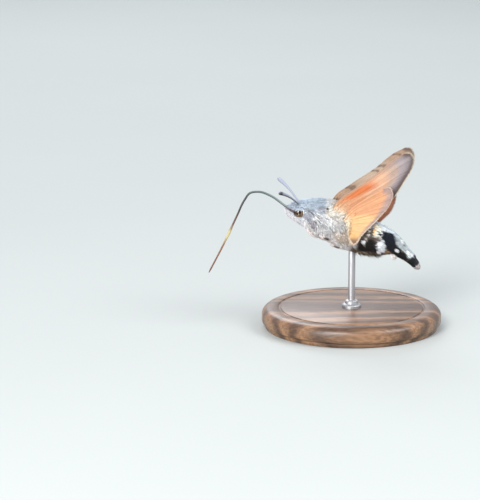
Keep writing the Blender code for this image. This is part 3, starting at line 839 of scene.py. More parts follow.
body_fur = fur_material("body_fur")
for seed, (name, start, end, count, slot) in enumerate(COAT_PIECES, 1):
    distance, angle = scatter(count, start, end, seed)
    longer = lookup(COAT_LENGTH_ROUND, numpy.degrees(numpy.abs(angle)))
    longer = 1 + (longer - 1) * smooth(distance, NECK, NECK + 1.5)
    sizes = [lookup(table, distance) for table in (COAT_LENGTH, COAT_LIFT, COAT_WIDTH)]
    sizes[0] = sizes[0] * longer
    coat_piece(name, distance, angle, seed, slot, body_fur, *sizes, distance * 0)


# Long scales: the bristly fringe under the waist, the black and white tufts that stand off
# the abdomen's sides, the cream hair over the wings' roots, the short crests of forehead,
# neck, shoulders and chin, and a black dot before each wing.
# Each row: distance, angle, half spread along and in degrees round, count on each side,
# length, width, lift in degrees, turn in degrees towards the belly, colour.
FRONT_TUFTS = (
    (1.5, 22, 0.8, 24, 170, 0.62, 0.09, 38, 0, (176, 188, 202)),
    (3.0, 16, 0.6, 18, 170, 0.85, 0.1, 40, 0, (184, 198, 214)),
    (5.0, 20, 0.9, 24, 220, 0.85, 0.12, 30, 0, (172, 185, 198)),
    (2.7, 158, 1.2, 22, 260, 0.7, 0.1, 34, 0, (234, 232, 238)),
    (9.4, 57, 2.4, 9, 400, 1.9, 0.13, 22, -16, (234, 228, 218)),
    (10.8, 70, 2.0, 8, 220, 1.8, 0.13, 17, -8, (224, 217, 208)),
    (9.9, 76, 1.0, 11, 220, 2.0, 0.12, 28, 2, (206, 204, 202)),
    (7.45, 51, 0.07, 1.1, 44, 0.85, 0.12, 46, -4, (12, 11, 14)),
    # The next row's brownish beige is painted shade where the thorax's hair lies over the hindwing's root.
    (11.8, 95, 0.9, 13, 200, 1.9, 0.12, 27, 2, (216, 196, 180)),
    (12.4, 52, 1.6, 9, 200, 2.0, 0.13, 15, -8, (226, 217, 204)),
)
HIND_TUFTS = (
    (17.6, 146, 2.2, 13, 420, 1.7, 0.11, 42, 2, (58, 46, 38)),
    (17.6, 148, 2.1, 13, 200, 1.6, 0.12, 36, 4, (204, 184, 154)),
    (17.0, 112, 1.4, 16, 300, 1.4, 0.13, 15, 8, (26, 21, 18)),
    (15.9, 96, 0.25, 4, 150, 1.2, 0.16, 34, 14, (250, 251, 255)),
    (19.2, 91, 0.45, 8, 200, 1.6, 0.16, 27, 20, (248, 251, 255)),
    (19.6, 104, 0.4, 6, 130, 1.5, 0.16, 31, 22, (242, 246, 255)),
    (19.6, 126, 0.25, 5, 80, 1.2, 0.16, 40, 14, (246, 240, 244)),
    (20.4, 63, 0.45, 18, 280, 1.1, 0.17, 20, 6, (8, 17, 34)),
    (22.2, 96, 0.9, 11, 260, 1.4, 0.17, 24, 6, (9, 16, 30)),
    (24.3, 104, 1.0, 11, 240, 1.5, 0.17, 20, 4, (14, 15, 20)),
    (22.75, 92, 0.35, 5, 150, 1.2, 0.18, 34, 6, (248, 248, 252)),
    (23.0, 136, 0.3, 6, 110, 1.5, 0.17, 46, 8, (248, 240, 238)),
    (23.4, 24, 0.3, 7, 50, 0.8, 0.15, 18, 0, (254, 255, 255)),
    (25.5, 67, 0.6, 13, 300, 1.1, 0.18, 20, -12, (255, 255, 255)),
)


def long_tufts(tufts):
    """The long scales of every row on both sides, as arrays for coat_piece."""
    rng = numpy.random.default_rng(41)
    rows = []
    for distance, angle, half, round_half, count, length, width, lift, turn, paint in tufts:
        for side in SIDES.values():
            s = distance + half * rng.uniform(-1, 1, count)
            a = numpy.radians(angle + round_half * rng.uniform(-1, 1, count)) * side
            colour = flood((count,), paint)
            fixed = [numpy.full(count, value) for value in (length, lift, width, turn * side)]
            rows.append([s, a, *fixed, colour])
    return [numpy.concatenate(column) for column in zip(*rows)]


for name, tufts, slot in (
    ("tufts_front", FRONT_TUFTS, "body_coat"),
    ("tufts_hind", HIND_TUFTS, "abdomen_coat"),
):
    place, angle, *sizes, paint = long_tufts(tufts)
    coat_piece(name, place, angle, 51, slot, body_fur, *sizes, paint)


# Tail: a close brush of long flat black scales round the end of the body, in layers, and
# a tuft of pale worn ones at its rounded end.
TAIL_START = 26.5
TAIL_ROOTS_END = CORE_END - 0.2
TAIL_REACH = 30.35
TAIL_HALF_HEIGHT = 0.78
TAIL_HALF_WIDTH = 1.35
# How far the brush falls short of its reach at its outside, in mm.
TAIL_ROUNDING = 0.75
# Layers: name, how many scales, where their tips end before the reach, width, colour, and
# how long they are where they don't start at the body.
TAIL_LAYERS = (
    ("tail_scales", 2600, 0.26, 0.22, (34, 36, 42), None),
    ("tail_tip", 330, 0.0, 0.2, (190, 180, 180), 0.48),
)
# The step of a full turn that spreads places evenly over a disc.
GOLDEN_STEP = 0.6180339887


def tail_layer(name, count, before, wide, paint, short):
    """Flat scales from round the body's end to even places of the brush's rounded end."""
    rng = numpy.random.default_rng(61)
    k = numpy.arange(count)
    angle = 2 * math.pi * (GOLDEN_STEP * k % 1) - math.pi
    reach = numpy.sqrt((k + 0.5) / count)
    end = body_line(BODY_LENGTH)
    back = unit(end[:2] - body_line(BODY_LENGTH - 0.4)[:2])
    run = TAIL_REACH - before - TAIL_ROUNDING * reach**2 - rng.uniform(0, 0.25, count) - BODY_LENGTH
    upward = numpy.cos(angle) * TAIL_HALF_HEIGHT * reach
    aside = numpy.sin(angle) * TAIL_HALF_WIDTH * reach
    flat = end[:2] + back * run[:, None] + numpy.array((-back[1], back[0])) * upward[:, None]
    goal = numpy.stack([flat[:, 0], aside, flat[:, 1]], -1)
    distance = TAIL_START + (TAIL_ROOTS_END - TAIL_START) * (EVEN_STEPS[0] * k % 1)
    roots = body_point(distance, angle, -coat_depth(distance, angle) - ROOT_SUNK)
    _, _, out = body_axes(distance, angle)
    heading = unit(goal - roots)
    length = numpy.linalg.norm(goal - roots, axis=1)
    if short:
        length = short * rng.uniform(0.8, 1.2, count)
        roots = goal - heading * length[:, None]
    colour = flood((count,), paint) * rng.uniform(0.75, 1.25, count)[:, None]
    width = wide * rng.uniform(0.7, 1.3, count)
    curl = rng.uniform(-0.02, 0.01, count)
    sway = rng.normal(0, 0.02, count)
    arrays = (roots, heading, out, length, width, curl, sway, colour, colour, skin_map(distance, angle))
    make_piece(name, *grown(arrays, tail_fur, "tail_scales"))


tail_fur = fur_material("tail_fur")
for layer in TAIL_LAYERS:
    tail_layer(*layer)


# Eyes: large glossy compound eyes, brown, each with a dark spot that looks outwards, a pale
# ring before it and fainter spots round it. They sit up to their middle in a rim of scales.
EYE_RINGS = 64
EYE_BROWN = (112, 91, 68)
EYE_SHADOW = (54, 42, 36)
EYE_PALE = (156, 140, 130)
EYE_SPOT = (4, 3, 4)
# Where the dark spot looks, and how much less its height counts than its width.
SPOT_DIRECTION = (0.11, 0.96, 0.18)
SPOT_TALLER = 0.72
# Spots: turn round the main one in degrees from its front, reach from it, size and depth.
EYE_SPOTS = (
    (0, 0.0, 0.27, 1.0), (-20, 0.62, 0.23, 1.0), (-4, 1.5, 0.2, 0.9), (-92, 0.62, 0.2, 0.6),
    (28, 0.7, 0.18, 0.4), (88, 0.62, 0.18, 0.4), (148, 0.6, 0.18, 0.2), (208, 0.6, 0.18, 0.25),
)
RIM_SCALES = 900
# How far out the rim's scales start, as shares of the eye's radius.
RIM_REACH = 1.04
RIM_LIMIT = 0.995
# Where the scales round the eye leave it bare: share of its radius by degrees round it,
# from straight back (0) over its top (90) to straight in front.
EYE_OPENING = (
    (-180, 0.9), (-136, 0.74), (-90, 0.84), (-54, 1.0), (-30, 0.86), (0, 0.74), (33, 0.82),
    (60, 0.54), (102, 0.52), (135, 0.46), (163, 0.66), (180, 0.9),
)
EYE_FLOW = numpy.array((1.0, 0, -0.12))


def eye_material():
    """A glossy eye of fine facets."""
    finish = {"Coat_Weight": 0.15, "Coat_Roughness": 0.12, "Specular_IOR_Level": 0.25}
    made, nodes, links, shader = new_material("compound_eye", 0.2, **finish)
    place = add_node(nodes, "TexCoord")
    facets = add_node(nodes, "TexVoronoi", Scale=22000)
    links.new(place.outputs["Object"], facets.inputs["Vector"])
    paint_input(nodes, links, shader, 3000, 0.25)
    add_bump(nodes, links, shader, facets.outputs["Distance"], 0.012 * MM, 0.6)
    return made


def sphere_rings(radius, rings, sides):
    tilt = (numpy.arange(rings) + 0.5) / rings * math.pi
    turn = even_turns(sides)
    flat = numpy.sin(tilt)[:, None]
    x, y = flat * numpy.cos(turn), flat * numpy.sin(turn)
    return numpy.stack([x, y, numpy.cos(tilt)[:, None] + turn * 0], -1) * radius


def eye_colour(directions, side):
    """Brown, darker above and in front, with a dark spot, a pale ring and fainter spots."""
    look = unit(numpy.array(SPOT_DIRECTION) * (1, side, 1))
    forward = unit(numpy.cross(look, (0, 0, -side)))
    over = numpy.cross(look, forward) * side
    ring = numpy.abs(numpy.linalg.norm(directions - look, axis=1) - 0.42)
    ahead = smooth(look[0] - directions[:, 0], 0.0, 0.25)
    layers = [
        (EYE_SHADOW, smooth(directions[:, 2], 0.1, 0.75) * 0.8),
        (EYE_SHADOW, smooth(-directions[:, 0], 0.3, 0.7) * 0.7),
        (EYE_PALE, (1 - smooth(ring, 0.04, 0.14)) * ahead * 0.9),
    ]
    for degrees, reach, size, depth in EYE_SPOTS:
        turn = math.radians(degrees)
        spot = unit(look + (forward * math.cos(turn) + over * math.sin(turn)) * reach)
        away = numpy.linalg.norm((directions - spot) * (1, 1, SPOT_TALLER), axis=1)
        layers.append((EYE_SPOT, (1 - smooth(away, size * 0.75, size * 1.15)) * depth))
    return overlaid(flood(directions.shape[:-1], EYE_BROWN), layers)


def eye_rim(side_name, side):
    """Short scales that grow in round the eye: a grey brow, pale ones and a dark stripe."""
    rng = numpy.random.default_rng(71)
    turn = rng.uniform(-math.pi, math.pi, RIM_SCALES)
    circle = numpy.stack([numpy.cos(turn), turn * 0, numpy.sin(turn)], -1)
    length = rng.uniform(0.26, 0.42, RIM_SCALES)
    bare = lookup(EYE_OPENING, numpy.degrees(turn))
    bare = bare + length / EYE_RADIUS * numpy.maximum(0, -circle[:, 0])
    out = numpy.minimum(bare + (RIM_REACH - bare) * rng.uniform(0, 1, RIM_SCALES), RIM_LIMIT)
    axis = numpy.array((0, side, 0))
    up = circle * out[:, None] + axis * numpy.sqrt(1 - out**2)[:, None]
    roots = EYE_PLACE * (1, side, 1) + up * EYE_RADIUS
    lie = unit(EYE_FLOW - up * (up @ EYE_FLOW)[:, None])
    lift = numpy.radians(rng.uniform(8, 20, RIM_SCALES))[:, None]
    heading = lie * numpy.cos(lift) + up * numpy.sin(lift)
    width = rng.uniform(0.08, 0.12, RIM_SCALES)
    behind = smooth(circle[:, 0], 0.2, 0.6) * (1 - smooth(circle[:, 2], 0.75, 0.95))
    front = smooth(-circle[:, 0], 0.5, 0.8) * (1 - smooth(numpy.abs(circle[:, 2] + 0.05), 0.25, 0.5))
    layers = (
        ((166, 178, 194), smooth(circle[:, 2], 0.0, 0.5)),
        ((238, 246, 252), behind),
        ((92, 78, 84), front),
    )
    paint = overlaid(flood((RIM_SCALES,), (224, 226, 232)), layers)
    paint = paint * rng.uniform(0.82, 1.1, RIM_SCALES)[:, None]
    curl = rng.uniform(0.05, 0.15, RIM_SCALES)
    places = skin_map(2.5 + circle[:, 0], numpy.radians(90 - 25 * circle[:, 2]) * side)
    arrays = (roots, heading, up, length, width, curl, curl - 0.1, paint, paint, places)
    make_piece(f"eye_rim_{side_name}", *grown(arrays, face_fur, "pale_coat", painted_root_shade=0.7))


eye_look = eye_material()
face_fur = fur_material("face_fur", 7000.0)
for side_name, side in SIDES.items():
    points, faces = tube_shell(sphere_rings(EYE_RADIUS, EYE_RINGS, EYE_RINGS * 2))
    colours = eye_colour(unit(points), side)
    centre = EYE_PLACE * (1, side, 1)
    eye = make_piece(f"compound_eye_{side_name}", (points + centre) * MM, faces, eye_look, "eye", colours)
    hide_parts(f"eye_{side_name}")
    eye_rim(side_name, side)


# Palps: the two blunt feelers of the mouth, pressed to the face and curved up in front of
# it, closely covered with white scales.
PALP_LINE = ((-10.2, 21.75), (-11.6, 22.35), (-12.7, 23.15), (-13.35, 24.05), (-13.5, 24.5))
PALP_RADII = ((0, 0.42), (0.25, 0.55), (0.5, 0.52), (0.75, 0.4), (1, 0.22))
PALP_ASIDE = 0.78
PALP_COAT = 0.12
PALP_COATED = 0.97
PALP_TUFTS = 1100
PALP_TUFT_LENGTH = 0.47
PALP_WHITE = (216, 215, 221)
PALP_ROWS = 40
PALP_SIDES = 24


def line_rings(points, radii, sides):
    """Rings of a round tube along points, in the points' own unit."""
    along = unit(numpy.gradient(points, axis=0))
    across = unit(numpy.cross(along, numpy.array((0.02, 0, 1))))
    over = numpy.cross(across, along)
    turn = even_turns(sides)
    circle = across[:, None] * numpy.cos(turn)[:, None] + over[:, None] * numpy.sin(turn)[:, None]
    return points[:, None] + circle * radii[:, None, None]


def palp_middle(shares, side):
    """Points of the palp's middle line at shares of its length."""
    line, length = smooth_line(PALP_LINE)
    flat = line(shares * length)
    return numpy.stack([flat[:, 0], flat[:, 0] * 0 + PALP_ASIDE * side, flat[:, 1]], -1)


def limb_tufts(name, middle_of, radius_of, reach, count, length, paint_of, slot):
    """Small tufts lying along a round limb, whose middle line and radius go by share."""
    rng = numpy.random.default_rng(81)
    share = rng.uniform(0, reach, count)
    turn = rng.uniform(-math.pi, math.pi, count)
    middle = middle_of(share)
    along = unit(middle_of(share + 0.02) - middle_of(share - 0.02))
    across = unit(numpy.cross(along, numpy.array((0, 0, 1.0)) + along * 0.01))
    over = numpy.cross(across, along)
    out = across * numpy.cos(turn)[:, None] + over * numpy.sin(turn)[:, None]
    roots = middle + out * (radius_of(share) - 0.03)[:, None]
    lift = numpy.radians(rng.uniform(12, 24, count))[:, None]
    heading = along * numpy.cos(lift) + out * numpy.sin(lift)
    length = length * rng.uniform(0.75, 1.25, count) * (1.1 - 0.5 * share)
    width = rng.uniform(0.08, 0.12, count)
    paint = paint_of(share, out) * rng.uniform(0.8, 1.08, count)[:, None]
    places = MAP_MARGIN + 0.95 * numpy.stack([share, turn / (2 * math.pi) + 0.5], -1)
    small = rng.uniform(-0.04, 0.08, count)
    arrays = (roots, heading, out, length, width, numpy.abs(small), small, paint, paint, places)
    make_piece(name, *grown(arrays, face_fur, slot, off_eyes(roots, heading, length)))


def palp_paint(share, out):
    dusk = smooth(share + 0.3 * out[:, 2], 0.88, 1.04) * 0.7
    return mix(flood(share.shape, PALP_WHITE), (150, 146, 154), dusk)


def palp_inside(share):
    return lookup(PALP_RADII, share) - PALP_COAT


for side_name, side in SIDES.items():
    shares = numpy.linspace(0, 1, PALP_ROWS)
    radii = numpy.maximum(palp_inside(shares), 0.06)
    points, faces = tube_shell(line_rings(palp_middle(shares, side), radii, PALP_SIDES) * MM)
    colours = flood((len(points),), (226, 220, 218)) * 0.7
    palp = make_piece(f"palp_core_{side_name}", points, faces, face_fur, "pale_coat", colours)
    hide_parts(f"palp_{side_name}")

    def middle_of(share, side=side):
        return palp_middle(share, side)

    form = (middle_of, palp_inside, PALP_COATED, PALP_TUFTS, PALP_TUFT_LENGTH)
    limb_tufts(f"palp_coat_{side_name}", *form, palp_paint, "pale_coat")


# Antennae: ringed horny shafts, scaled pale grey above and brown below, that thicken to a
# dark club with a short hooked tip. Each stands in the fur of the brow.
# Where its foot is along and round the body, and how far its tip is from there.
ANTENNA_AT = 2.05
ANTENNA_ANGLE = math.radians(36)
ANTENNA_REACH = numpy.array((-4.05, 6.1, 3.45))
ANTENNA_BOW = 0.35
ANTENNA_HOOK = numpy.array((0.12, 0, -0.14))
ANTENNA_RADII = (
    (-0.1, 0.17), (0.0, 0.19), (0.35, 0.21), (0.7, 0.33), (0.86, 0.38), (0.95, 0.33), (1.0, 0.12),
)
ANTENNA_OFF = 0.4
ANTENNA_BANDS = 42
ANTENNA_HOOKED = 0.2
ANTENNA_ROWS = 420
ANTENNA_SIDES = 20


def with_ends(colours):
    """Colours by ring and side, and then those of the middles of tube_shell's two ends."""
    return numpy.concatenate([colours.reshape(-1, 3), colours[0, :1], colours[-1, :1]])


def horn_material(name, roughness, scale, amount, depth):
    """Painted horn with a fine grain, given by its scale, amount and depth."""
    made, nodes, links, shader = new_material(name, roughness)
    grain = paint_input(nodes, links, shader, scale, amount)
    add_bump(nodes, links, shader, grain.outputs["Height"], depth, 0.7)
    return made


antenna_look = horn_material("antenna_horn", 0.5, 6000, 0.5, 0.03 * MM)
for side_name, side in SIDES.items():
    shares = numpy.linspace(-0.1, 1, ANTENNA_ROWS)
    root = body_point(numpy.array(ANTENNA_AT), numpy.array(ANTENNA_ANGLE * side), ANTENNA_OFF)
    reach = ANTENNA_REACH * (1, side, 1)
    bow = numpy.sin(math.pi * numpy.clip(shares, 0, 1)) * ANTENNA_BOW
    hooked = numpy.clip(shares - (1 - ANTENNA_HOOKED), 0, 1)[:, None] / ANTENNA_HOOKED
    middle = root + reach * shares[:, None] + ANTENNA_HOOK * hooked**2
    middle[:, 2] += bow
    joint = smooth(numpy.abs(shares * ANTENNA_BANDS % 1 - 0.5), 0.3, 0.5)
    radii = lookup(ANTENNA_RADII, shares)
    rings = line_rings(middle, radii * (1 - 0.1 * joint), ANTENNA_SIDES)
    points, faces = tube_shell(rings * MM)
    facing = (rings - middle[:, None]) / radii[:, None, None]
    pale = smooth(facing[..., 2] - 0.25 * side * facing[..., 1], -0.8, -0.3)
    outer = smooth(side * facing[..., 1], -0.3, 0.4)
    dark = smooth(shares, 0.78, 0.92)[:, None] * outer * 0.9 + 0.2 * joint[:, None]
    layers = (((136, 142, 158), pale), ((34, 30, 34), numpy.clip(dark, 0, 1)))
    colours = with_ends(overlaid(flood(rings.shape[:2], (84, 78, 76)), layers))
    antenna = make_piece(f"ringed_antenna_{side_name}", points, faces, antenna_look, "antenna", colours)
    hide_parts(f"antenna_{side_name}")


# Proboscis: the long sucking tube, two horny halves zipped together along a groove, with
# fine rings. It leaves the face upwards, bends down and swells where its muscles end.
PROBOSCIS_LINE = (
    (-13.80, 25.05), (-16.08, 26.66), (-18.72, 27.59), (-20.44, 27.30),
    (-21.48, 25.94), (-22.98, 22.76), (-25.62, 17.00), (-28.64, 11.06),
)
PROBOSCIS_ROOT = 1.1
# Radius, and further down colour, by share of its length.
PROBOSCIS_RADII = (
    (0.0, 0.26), (0.5, 0.21), (0.58, 0.21), (0.645, 0.33), (0.72, 0.2), (0.97, 0.17), (1.0, 0.08),
)
PROBOSCIS_ROOT_ROWS = 24
PROBOSCIS_ROWS = 900
PROBOSCIS_SIDES = 24
RING_SPACING = 0.16
GROOVE_DEPTH = 0.22
# The grey-blue of the first quarter is a painted highlight on the top of the curve.
PROBOSCIS_PAINT = (
    (0.0, (100, 108, 108)), (0.12, (80, 94, 94)), (0.24, (62, 74, 72)), (0.33, (40, 42, 42)),
    (0.45, (46, 38, 34)), (0.56, (88, 58, 42)), (0.6, (122, 98, 68)), (0.63, (166, 156, 110)),
    (0.67, (178, 168, 122)), (0.71, (146, 124, 86)), (0.745, (118, 78, 54)), (1.0, (92, 56, 40)),
)


def proboscis_piece():
    """One tube over the three solids, with its root inside the head."""
    line, length = smooth_line(PROBOSCIS_LINE)
    flat = line(numpy.linspace(0, length, PROBOSCIS_ROWS))
    first = flat[0] - unit(flat[1] - flat[0]) * PROBOSCIS_ROOT
    root = first + (flat[0] - first) * numpy.linspace(0, 0.95, PROBOSCIS_ROOT_ROWS)[:, None]
    flat = numpy.concatenate([root, flat])
    middle = numpy.stack([flat[:, 0], flat[:, 0] * 0, flat[:, 1]], -1)
    root_run = numpy.linspace(-PROBOSCIS_ROOT, -0.05, PROBOSCIS_ROOT_ROWS)
    run = numpy.concatenate([root_run, numpy.linspace(0, length, PROBOSCIS_ROWS)])
    share = run / length
    joint = smooth(numpy.abs(run / RING_SPACING % 1 - 0.5), 0.25, 0.5)
    rings = line_rings(middle, lookup(PROBOSCIS_RADII, share) * (1 - 0.05 * joint), PROBOSCIS_SIDES)
    turn = even_turns(PROBOSCIS_SIDES)
    aside = [(turn - seam + math.pi) % (2 * math.pi) - math.pi for seam in (math.pi / 2, -math.pi / 2)]
    groove = GROOVE_DEPTH * (1 - smooth(numpy.abs(aside).min(0), 0.0, 0.42))
    rings = middle[:, None] + (rings - middle[:, None]) * (1 - groove)[None, :, None]
    places, paints = zip(*PROBOSCIS_PAINT)
    paints = numpy.array([to_linear(*paint) for paint in paints])
    colours = numpy.stack([numpy.interp(share, places, paints[:, k]) for k in range(3)], -1)
    # Painted light and shade near the face: the upper side lighter, the lower darker.
    painted_top_light = 1 + 0.5 * numpy.sin(turn)[None, :, None] * (1 - smooth(share, 0.1, 0.3))[:, None, None]
    colours = colours[:, None] * (1 - 0.3 * joint)[:, None, None] * numpy.maximum(painted_top_light, 0.5)
    points, faces = tube_shell(rings * MM)
    look = horn_material("proboscis_horn", 0.34, 9000, 0.5, 0.012 * MM)
    piece = make_piece("proboscis", points, faces, look, "proboscis", with_ends(colours))
    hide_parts("proboscis_base", "proboscis_bend", "proboscis_tip")


proboscis_piece()


# Legs: three pairs folded back along the belly, half sunk in its coat. Each has a thick
# scaled thigh, a shin with a pair of spurs, and a foot of five short rings with claws.
# Legs: name, where along the body the hip and the foot are, and their degrees round it.
LEGS = (
    ("front", 5.2, 9.9, 164, 160),
    ("middle", 7.9, 12.6, 138, 138),
    ("hind", 10.9, 15.3, 160, 155),
)
# How far a leg's middle is outside the body, and its radius, by share of its length.
LEG_LIFT = ((0.0, -0.2), (0.1, 0.15), (0.27, 0.3), (0.45, 0.25), (0.65, 0.12), (0.85, 0.06), (1.0, 0.08))
LEG_RADII = (
    (0.0, 0.2), (0.05, 0.26), (0.22, 0.28), (0.28, 0.2), (0.32, 0.22), (0.48, 0.19),
    (0.52, 0.13), (0.9, 0.1), (1.0, 0.07),
)
LEG_ROWS = 130
LEG_SIDES = 16
# How many points of a leg's middle line are averaged, to round its bends.
LEG_ROUNDING = 9
FOOT_START = 0.52
FOOT_RINGS = 5
FOOT_PINCH = 0.22
FOOT_PINCH_SHADE = 0.3
SHIN_DARKNESS = {"front": 0.15, "middle": 1.0, "hind": 0.9}
LEG_TUFTS = 300
LEG_COATED = 0.55
LEG_TUFT_LENGTH = 0.42
SPUR_RADIUS = 0.055
# A spur or claw: share of the leg where it starts, length in mm and its turn aside.
SPURS = ((0.5, 0.55, 0.35), (0.5, 0.5, -0.3), (0.4, 0.4, 0.4), (0.97, 0.22, 0.5), (0.97, 0.22, -0.5))


def leg_middle(shares, side, hip, foot, hip_angle, foot_angle):
    angle = numpy.radians(hip_angle + (foot_angle - hip_angle) * shares) * side
    return body_point(hip + (foot - hip) * shares, angle, lookup(LEG_LIFT, shares))


def leg_inside(share):
    return lookup(LEG_RADII, share) - 0.02


def shin(share, darkness):
    """How dark a place of the leg is: its shin alone stands out."""
    return darkness * smooth(share, 0.22, 0.3) * (1 - smooth(share, 0.42, 0.54))


leg_look = horn_material("leg_scales", 0.6, 5000, 0.7, 0.05 * MM)
for side_name, side in SIDES.items():
    for leg_name, *leg in LEGS:
        shares = numpy.linspace(0, 1, LEG_ROWS)
        middle = leg_middle(shares, side, *leg)
        soft = numpy.ones(LEG_ROUNDING) / LEG_ROUNDING
        for axis in range(3):
            padded = numpy.pad(middle[:, axis], LEG_ROUNDING // 2, mode="reflect", reflect_type="odd")
            middle[:, axis] = numpy.convolve(padded, soft, "valid")
        toe = (shares - FOOT_START) / (1 - FOOT_START) * FOOT_RINGS % 1
        pinch = 1 - FOOT_PINCH * smooth(numpy.abs(toe - 0.5), 0.3, 0.5) * (shares > FOOT_START)
        rings = line_rings(middle, lookup(LEG_RADII, shares) * pinch, LEG_SIDES)
        points, faces = tube_shell(rings * MM)
        darkness = SHIN_DARKNESS[leg_name]
        mark = numpy.ones(rings.shape[:2]) * shin(shares, darkness)[:, None]
        colours = mix(flood(rings.shape[:2], (208, 194, 186)), (66, 52, 46), mark)
        colours = colours * (1 - FOOT_PINCH_SHADE * (1 - pinch) / FOOT_PINCH)[:, None, None]
        colours = with_ends(colours)
        for start, length, aside in SPURS:
            k = int(start * (len(shares) - 1))
            ahead = unit(middle[min(k + 3, len(shares) - 1)] - middle[k - 3])
            across = unit(numpy.cross(ahead, (0, 0, 1)))
            steps = numpy.linspace(0, 1, 7)[:, None]
            spur = middle[k] + (ahead + across * aside) * steps * length
            more, spur_faces = tube_shell(line_rings(spur, SPUR_RADIUS * (1.05 - steps[:, 0]), 8) * MM)
            faces = numpy.concatenate([faces, spur_faces + len(points)])
            points = numpy.concatenate([points, more])
            colours = numpy.concatenate([colours, flood((len(more),), (150, 132, 120))])
        made = make_piece(f"jointed_leg_{leg_name}_{side_name}", points, faces, leg_look, "leg", colours)
        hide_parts(f"leg_{leg_name}_{side_name}")

        def middle_of(share, side=side, leg=leg):
            return leg_middle(share, side, *leg)

        def paint_of(share, out, darkness=darkness):
            return mix(flood(share.shape, (240, 230, 226)), (84, 68, 60), shin(share, darkness))

        form = (middle_of, leg_inside, LEG_COATED, LEG_TUFTS, LEG_TUFT_LENGTH)
        limb_tufts(f"leg_coat_{leg_name}_{side_name}", *form, paint_of, "leg")


# Wings: thin membranes on a fan of horny veins, closely set with rows of scales, raised
# over the back. The hindwing lies outside the forewing. Undersides face out.
# Each wing's edges in its own plane, as X and Z from its root or front to its tip or rear.
FOREWING = {
    "root": ((-4.4, 23.0), (-1.5, 22.1)),
    "leading": ((-4.4, 23.0), (-3.7, 25.5), (-0.2, 28.6), (4.4, 32.0), (8.0, 35.1), (10.2, 36.35)),
    "outer": (
        (10.2, 36.35), (11.2, 36.3), (11.85, 35.3), (11.6, 33.5), (10.4, 31.1), (8.8, 28.4), (7.9, 27.1),
    ),
    "trailing": ((-1.5, 22.1), (2.6, 24.1), (5.6, 25.8), (7.9, 27.1)),
}
HINDWING = {
    "root": ((-2.1, 22.3), (-1.2, 20.6)),
    "leading": ((-2.1, 22.3), (-0.9, 24.6), (2.6, 27.3), (6.2, 29.4)),
    "outer": (
        (6.2, 29.4), (7.2, 29.5), (7.75, 28.4), (7.2, 26.1),
        (5.0, 23.2), (1.64, 19.5), (0.6, 18.0), (0.1, 17.75),
    ),
    "trailing": ((-1.2, 20.6), (-0.9, 19.0), (-0.4, 18.0), (0.1, 17.75)),
}
# Veins: place across the wing from the leading edge, and where each starts along it.
FOREWING_VEINS = (
    (0.03, 0.0), (0.09, 0.0), (0.2, 0.0), (0.28, 0.45), (0.36, 0.5), (0.44, 0.5), (0.52, 0.5),
    (0.6, 0.45), (0.68, 0.0), (0.88, 0.0),
)
HINDWING_VEINS = (
    (0.04, 0.0), (0.12, 0.0), (0.21, 0.35), (0.3, 0.35), (0.39, 0.35), (0.48, 0.35), (0.57, 0.3),
    (0.66, 0.0), (0.76, 0.0), (0.85, 0.0),
)
# How far the wings' roots are from the moth's middle, and how much further for each mm out.
FOREWING_ASIDE = 3.0
HINDWING_ASIDE = 4.15
WING_SPREAD = 0.085
# How each side's wing is caught in its beat: its width as a factor, its turn in degrees.
FOREWING_BEAT = {"left": (1.0, 0.0), "right": (1.12, -2.5)}
HINDWING_BEAT = {"left": (1.0, 0.0), "right": (1.5, -9.0)}
# How far the hindwing's root dives into the coat, over which share of its length.
HINDWING_DIVE = 0.9
DIVE_SHARE = 0.22
# The forewing's dark wavy lines: place along the wing and half width, as shares of it.
WAVY_LINES = ((0.16, 0.018), (0.34, 0.016), (0.37, 0.01), (0.64, 0.014), (0.72, 0.02), (0.9, 0.012))
MEMBRANE = 0.1
VEIN_RISE = 0.09
VEIN_WIDTH = 0.007
VEIN_SHADE = 0.14
PLEAT = 0.035
PLEATS = 6
# How bright the membrane's paint is, and how much more in its faint lengthwise streaks.
MEMBRANE_SHADE = 0.5
MEMBRANE_STREAKS = 0.1
# The map of the rows of scales: how far it goes along and across a wing.
WING_LAY = (18, 9)
FRINGE = 0.42
# The fringe on the outer edge and the trailing one: how many scales, and what share of the
# edge is bare from its start.
FRINGE_EDGES = ((900, 0.0), (500, 0.3))
ROOT_HAIRS = 1000
ROOT_HAIR_REACH = 0.24
ROOT_HAIR_SHADE = 0.78
WING_COLUMNS = 84
WING_ROWS = 150


def wing_outline(edges, u, v):
    """Places in the wing's own plane, in mm, by shares along and across it."""
    lines = {name: smooth_line(points) for name, points in edges.items()}

    def on(name, share):
        line, length = lines[name]
        return line(numpy.asarray(share) * length)

    u, v = u[..., None], v[..., None]
    corners = (
        on("leading", 0) * (1 - u) * (1 - v)
        + on("trailing", 0) * (1 - u) * v
        + on("leading", 1) * u * (1 - v)
        + on("trailing", 1) * u * v
    )
    along = on("leading", u[..., 0]) * (1 - v) + on("trailing", u[..., 0]) * v
    across = on("root", v[..., 0]) * (1 - u) + on("outer", v[..., 0]) * u
    return along + across - corners


def wing_middle(flat, u, edges, beat, aside, dive, side):
    """Places of the wing's middle surface in the moth, in mm, from its own plane."""
    shoulder = numpy.array(FOREWING["leading"][0])
    root = numpy.array(edges["leading"][0])
    span = unit(numpy.array(edges["leading"][-1]) - root)
    chord, turn = beat
    sine, cosine = math.sin(math.radians(turn)), math.cos(math.radians(turn))
    place = flat - root
    along = span * (place @ span)[..., None]
    place = along + (place - along) * chord
    x = root[0] + place[..., 0] * cosine - place[..., 1] * sine
    z = root[1] + place[..., 0] * sine + place[..., 1] * cosine
    away = numpy.hypot(x - shoulder[0], z - shoulder[1])
    inward = dive * numpy.clip(1 - u / DIVE_SHARE, 0, 1) ** 2
    return numpy.stack([x, (aside + away * WING_SPREAD - inward) * side, z], -1)


